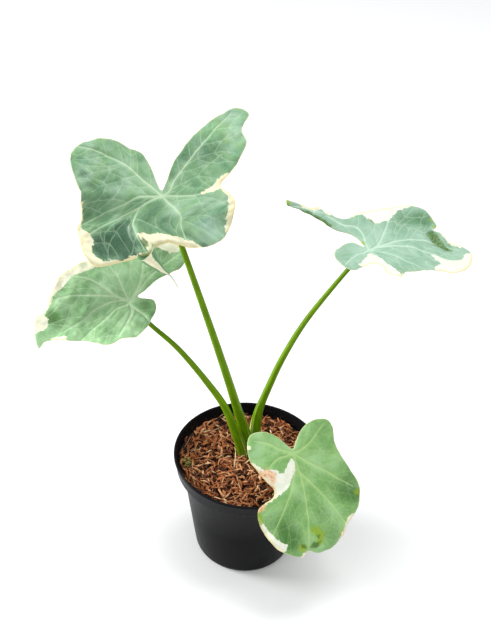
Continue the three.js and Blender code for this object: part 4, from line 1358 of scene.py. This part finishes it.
def build_blade(name, leaf, finish, seed):
    rim = margin_of(leaf, seed)
    points, faces = net_of(rim, seed)
    u, v = points[:, 0], points[:, 1]
    ribs = [smooth_line(rib, 1.0) for rib in leaf["ribs"]]
    sides = [smooth_line(side, 1.0) for side in leaf["sides"]]
    sides += side_veins(ribs + sides, rim)
    rib_off, rib_share = nearest_line(points, ribs, RIB_WIDTH)
    side_off, side_share = nearest_line(points, sides, SIDE_WIDTH)
    edge = from_ring(points, rim)
    shade = spots(points, leaf["shade"])
    normal = sheet_normal(leaf, u, v)
    relief = relief_of(leaf, points, shade, side_off, rib_off, edge, seed)
    middle = sheet_point(leaf, u, v) + normal * relief[:, None]
    half = THICKNESS / 2 * (MARGIN_SHARE + (1 - MARGIN_SHARE) * np.clip(edge / 2, 0, 1))
    ridge = RIB_HEIGHT * np.exp(-rib_off ** 2) * np.clip(1 - np.hypot(u, v) / RIB_LENGTH, 0.1, 1)
    ridge *= np.clip(edge / MARGIN_WIDTH, 0, 1)
    top = middle + normal * half[:, None]
    bottom = middle - normal * (half + ridge)[:, None]
    # The shade attribute carries the spots' painted shade and highlights, and panels painted darker away
    # from the ribs and lighter near them.
    told = {
        "rib": rib_share, "side_vein": side_share, "edge": edge,
        "cream": patch_depth(points, leaf["cream"]), "deep": patch_depth(points, leaf["deep"]),
        "scorch": spots(points, leaf["scorch"]), "fading": spots(points, leaf["fading"]),
        "shade": shade + PANEL_SHADE * (0.35 - np.clip(rib_off / PANEL_REACH, 0, 1)),
    }
    both = {label: np.concatenate([numbers, numbers]) for label, numbers in told.items()}
    blade = make_piece(
        name, np.vstack([top, bottom]), closed_sheet(faces, len(points)), finish,
        np.vstack([points, points]) / 100, under=np.repeat([0, 1], len(points)), **both)
    face_outwards(blade)
    return blade


def leaf_finish(name, leaf):
    made, net, shader = material("waxy_leaf_" + name)
    values = {socket: paint(*shade) for socket, shade in leaf["tones"].items()}
    values.update({
        "Mint": paint(198, 220, 198), "Margin": paint(226, 212, 150), "Bloom share": 0.5,
        "Side veins": leaf["side_share"], "Ragged": leaf["ragged"],
    })
    tissue = net.shared("Leaf tissue", values)
    net.fill(shader, {
        "Base Color": tissue["Color"], "Roughness": tissue["Roughness"],
        "Specular IOR Level": 0.35, "Sheen Weight": 0.06,
    })
    net.bump(shader, tissue["Height"], 0.25 * MM, 0.7)
    return made


finishes = {name: leaf_finish(name, leaf) for name, leaf in LEAVES.items()}
for number, (name, leaf) in enumerate(LEAVES.items()):
    blade = build_blade("leaf_" + name, leaf, finishes[name], 11 + number)
    stands_for(blade, leaf["slot"], "blade_" + name)
    print(name, "blade:", len(blade.data.polygons), "faces")

# %% [markdown]
# The tip of the upper left leaf never opened out: its two margins stay rolled together as a small
# funnel, cream along one side, that ends in a thread. It is a tube along a curved path, with a wall,
# made ring by ring so that the mouth stays open.

# %% Funnel
FUNNEL_PATH = [(-103, -19, 378), (-96, -22, 371), (-86, -26, 363), (-78, -27, 357), (-72, -27, 346)]
FUNNEL_RADII = [(0, 9.8), (0.2, 7.6), (0.42, 4.6), (0.6, 2.0), (0.7, 0.8), (0.8, 0.6), (1, 0.5)]
FUNNEL_SIDES = 72
FUNNEL_STEP = 0.8
FUNNEL_WALL = 0.5
WALL_REACH = 0.45
MOUTH_SLANT = 7
MOUTH_SHARE = 0.4
FLATNESS = 0.7
CREAM_SIDE = 4.55
SIDE_CREAM, SIDE_FALL, MOUTH_CREAM = 2.6, 9, 1.6
FLUTES, FLUTE_DEPTH = 3, 0.06
SHADED_FROM, FUNNEL_SHADE = 0.6, -0.5
PLAIN_TISSUE = {"rib": 50, "side_vein": 50, "edge": 9, "scorch": 0, "fading": 0, "deep": -9, "under": 0.2}


def tube(rings):
    """Points and faces over rings of equally many points, with a point at each end."""
    sides = len(rings[0])
    points = np.vstack([rings[0].mean(axis=0)[None], *rings, rings[-1].mean(axis=0)[None]])
    k = np.arange(sides)
    after = (k + 1) % sides
    faces = [np.stack([0 * k, 1 + after, 1 + k], axis=1)]
    for here in range(1, 1 + (len(rings) - 1) * sides, sides):
        above = here + sides
        faces.append(np.stack([here + k, here + after, above + k], axis=1))
        faces.append(np.stack([here + after, above + after, above + k], axis=1))
    top = 1 + (len(rings) - 1) * sides
    faces.append(np.stack([0 * k + len(points) - 1, top + k, top + after], axis=1))
    return points, np.vstack(faces)


def direction(path, step):
    return unit(path[min(step + 1, len(path) - 1)] - path[max(step - 1, 0)])


def around(angles, first, second):
    """Unit vectors round a ring, from its first axis towards its second."""
    return np.cos(angles)[:, None] * first + np.sin(angles)[:, None] * second


path = smooth_line(FUNNEL_PATH, FUNNEL_STEP)
angles = np.linspace(0, 2 * math.pi, FUNNEL_SIDES, endpoint=False)


def funnel_ring(step, less):
    share = step / (len(path) - 1)
    ahead = direction(path, step)
    side = unit(np.cross([0, 1, 0], ahead))
    front = np.cross(ahead, side)
    radius = max(np.interp(share, *zip(*FUNNEL_RADII)) - less, 0.05)
    flute = 1 + FLUTE_DEPTH * np.sin(FLUTES * angles + 5 * share)
    lower = MOUTH_SLANT * max(0, 1 - share / MOUTH_SHARE) ** 1.5 * (1 - np.sin(angles)) / 2
    out = radius * flute[:, None] * around(angles, side, FLATNESS * front)
    return path[step] + lower[:, None] * ahead + out


outer = [funnel_ring(step, 0) for step in range(len(path) - 1, -1, -1)]
inner = [funnel_ring(step, FUNNEL_WALL) for step in range(int(len(path) * WALL_REACH))]
points, faces = tube(outer + inner)
ring_count = len(outer) + len(inner)
steps = np.concatenate([[0], np.repeat(np.arange(ring_count), FUNNEL_SIDES), [ring_count]])
turns = np.concatenate([[0], np.tile(angles, ring_count), [0]])
from_mouth = np.abs(steps - len(outer)) * FUNNEL_STEP
turned = wrapped(turns - CREAM_SIDE)
within = steps >= len(outer)
cream = np.maximum(SIDE_CREAM - SIDE_FALL * turned ** 2, MOUTH_CREAM - from_mouth)
cream = np.where(within, FAR_OUTSIDE, cream)
tissue = {label: np.full(len(points), float(number)) for label, number in PLAIN_TISSUE.items()}
# Away from the cream strip the outside of the funnel gets painted shade.
tissue["shade"] = np.where(within | (np.abs(turned) <= SHADED_FROM), 0, FUNNEL_SHADE)
funnel = make_piece(
    "leaf_tip_funnel", points, faces, finishes["upper_left"],
    np.stack([turns / 6, steps * FUNNEL_STEP / 100], axis=1), cream=cream, **tissue)
face_outwards(funnel)
stands_for(funnel, "leaf_green", "blade_upper_left")
print("funnel:", len(funnel.data.polygons), "faces")

# %% [markdown]
# ## The petioles
# A petiole is a smooth juicy stalk, thickest at its foot, where two thin wings of the old sheath clasp
# its neighbour and fade out upwards. A bent cylinder would have no wings, so each stalk is lofted: rings
# of points along its path, each with the stalk's round body and the two wings at that height.

# %% Petiole shapes
SHEATH_LENGTH = 75
SHEATH_FADES = 0.3
PETIOLE_SIDES = 40
PETIOLE_STEP = 2.0
WING_ANGLE = math.radians(36)
WING_SPREAD = 0.2
CHANNEL_DEPTH, CHANNEL_SPREAD = 0.16, 0.35
TAPER_REACH, TAPER_POWER = 1.15, 0.75
TIP_SHARE, TIP_LENGTH = 0.25, 3
HUB_DEPTH = 1.6


def petiole_rings(leaf):
    """Points, faces, wing share, share of the height and turn of a stalk, and its length."""
    path = smooth_line(leaf["stalk"], PETIOLE_STEP)
    run = run_along(path)
    foot, top = leaf["stalk_radii"]
    inward = unit(np.array([*(np.array(leaf["stalk"][0][:2]) - leaf["hub"][:2]), 0]))
    angles = np.linspace(0, 2 * math.pi, PETIOLE_SIDES, endpoint=False)
    turned_in = np.abs(wrapped(angles))
    at_wing = np.exp(-((turned_in - WING_ANGLE) / WING_SPREAD) ** 2)
    channel = CHANNEL_DEPTH * np.exp(-(turned_in / CHANNEL_SPREAD) ** 2)
    rings, fringe, height = [], [], []
    for step, centre in enumerate(path):
        along = direction(path, step)
        side = unit(np.cross(along, inward))
        front = np.cross(side, along)
        share = run[step] / run[-1]
        left = run[-1] - run[step]
        body = foot + (top - foot) * min(1, share * TAPER_REACH) ** TAPER_POWER
        fade = 1 - eased([(SHEATH_FADES * SHEATH_LENGTH, 0), (SHEATH_LENGTH, 1)], run[step], 1)
        radius = body - body * channel + leaf["wing"] * fade * at_wing
        radius = radius * min(1, TIP_SHARE + left / TIP_LENGTH)
        sunk = min(0, left - HUB_DEPTH) * along
        rings.append(centre + sunk + radius[:, None] * around(angles, front, side))
        fringe.append(at_wing * fade * min(1, leaf["wing"] / 2))
        height.append(np.full(PETIOLE_SIDES, share))
    fringe = np.concatenate([[0], *fringe, [1]])
    height = np.concatenate([[0], *height, [1]])
    turns = np.concatenate([[0], np.tile(angles, len(rings)), [0]])
    return (*tube(rings), fringe, height, turns, run[-1])


print("sheath wings reach", SHEATH_LENGTH, "mm up each petiole")

# %% [markdown]
# The stalks are yellow green, paler at the foot, with fine lengthwise lines and a cream edge where the
# sheath wings dry out.

# %% Petiole finish and pieces
stalk_finish, net, shader = material("petiole_green")
flat = net.flat_map()
lines = net.noise(net.add("Mapping", {"Vector": flat, "Scale": (20, 1.0, 1)})[0], 1.6, 3, 0.5)
cloud = net.noise(flat, 6, 3)
value = net.plus(net.times(cloud, 0.5), lines, 0.5)
green = net.coats(
    paint(90, 124, 5),
    (net.mask(value, 0.4, 0.62), paint(108, 146, 8)),
    (net.mask(net.attribute("height"), 0.12, 0.0, strength=0.6), paint(142, 176, 58)),
    (net.mask(net.attribute("fringe"), 0.45, 0.8, strength=0.75), paint(214, 222, 150)),
)
net.fill(shader, {
    "Base Color": green, "Roughness": net.plus(0.32, lines, 0.2), "Specular IOR Level": 0.08,
})
net.bump(shader, lines, 0.15 * MM, 0.6)
for name, leaf in LEAVES.items():
    points, faces, fringe, height, turns, length = petiole_rings(leaf)
    stalk = make_piece(
        "stalk_" + name, points, faces, stalk_finish,
        np.stack([turns / 6, height * length / 100], axis=1), fringe=fringe, height=height)
    face_outwards(stalk)
    stands_for(stalk, "stem_green", "petiole_" + name)
    print("petiole", name, round(length), "mm long")

# %% [markdown]
# ## Close

# %% Close
deselect()
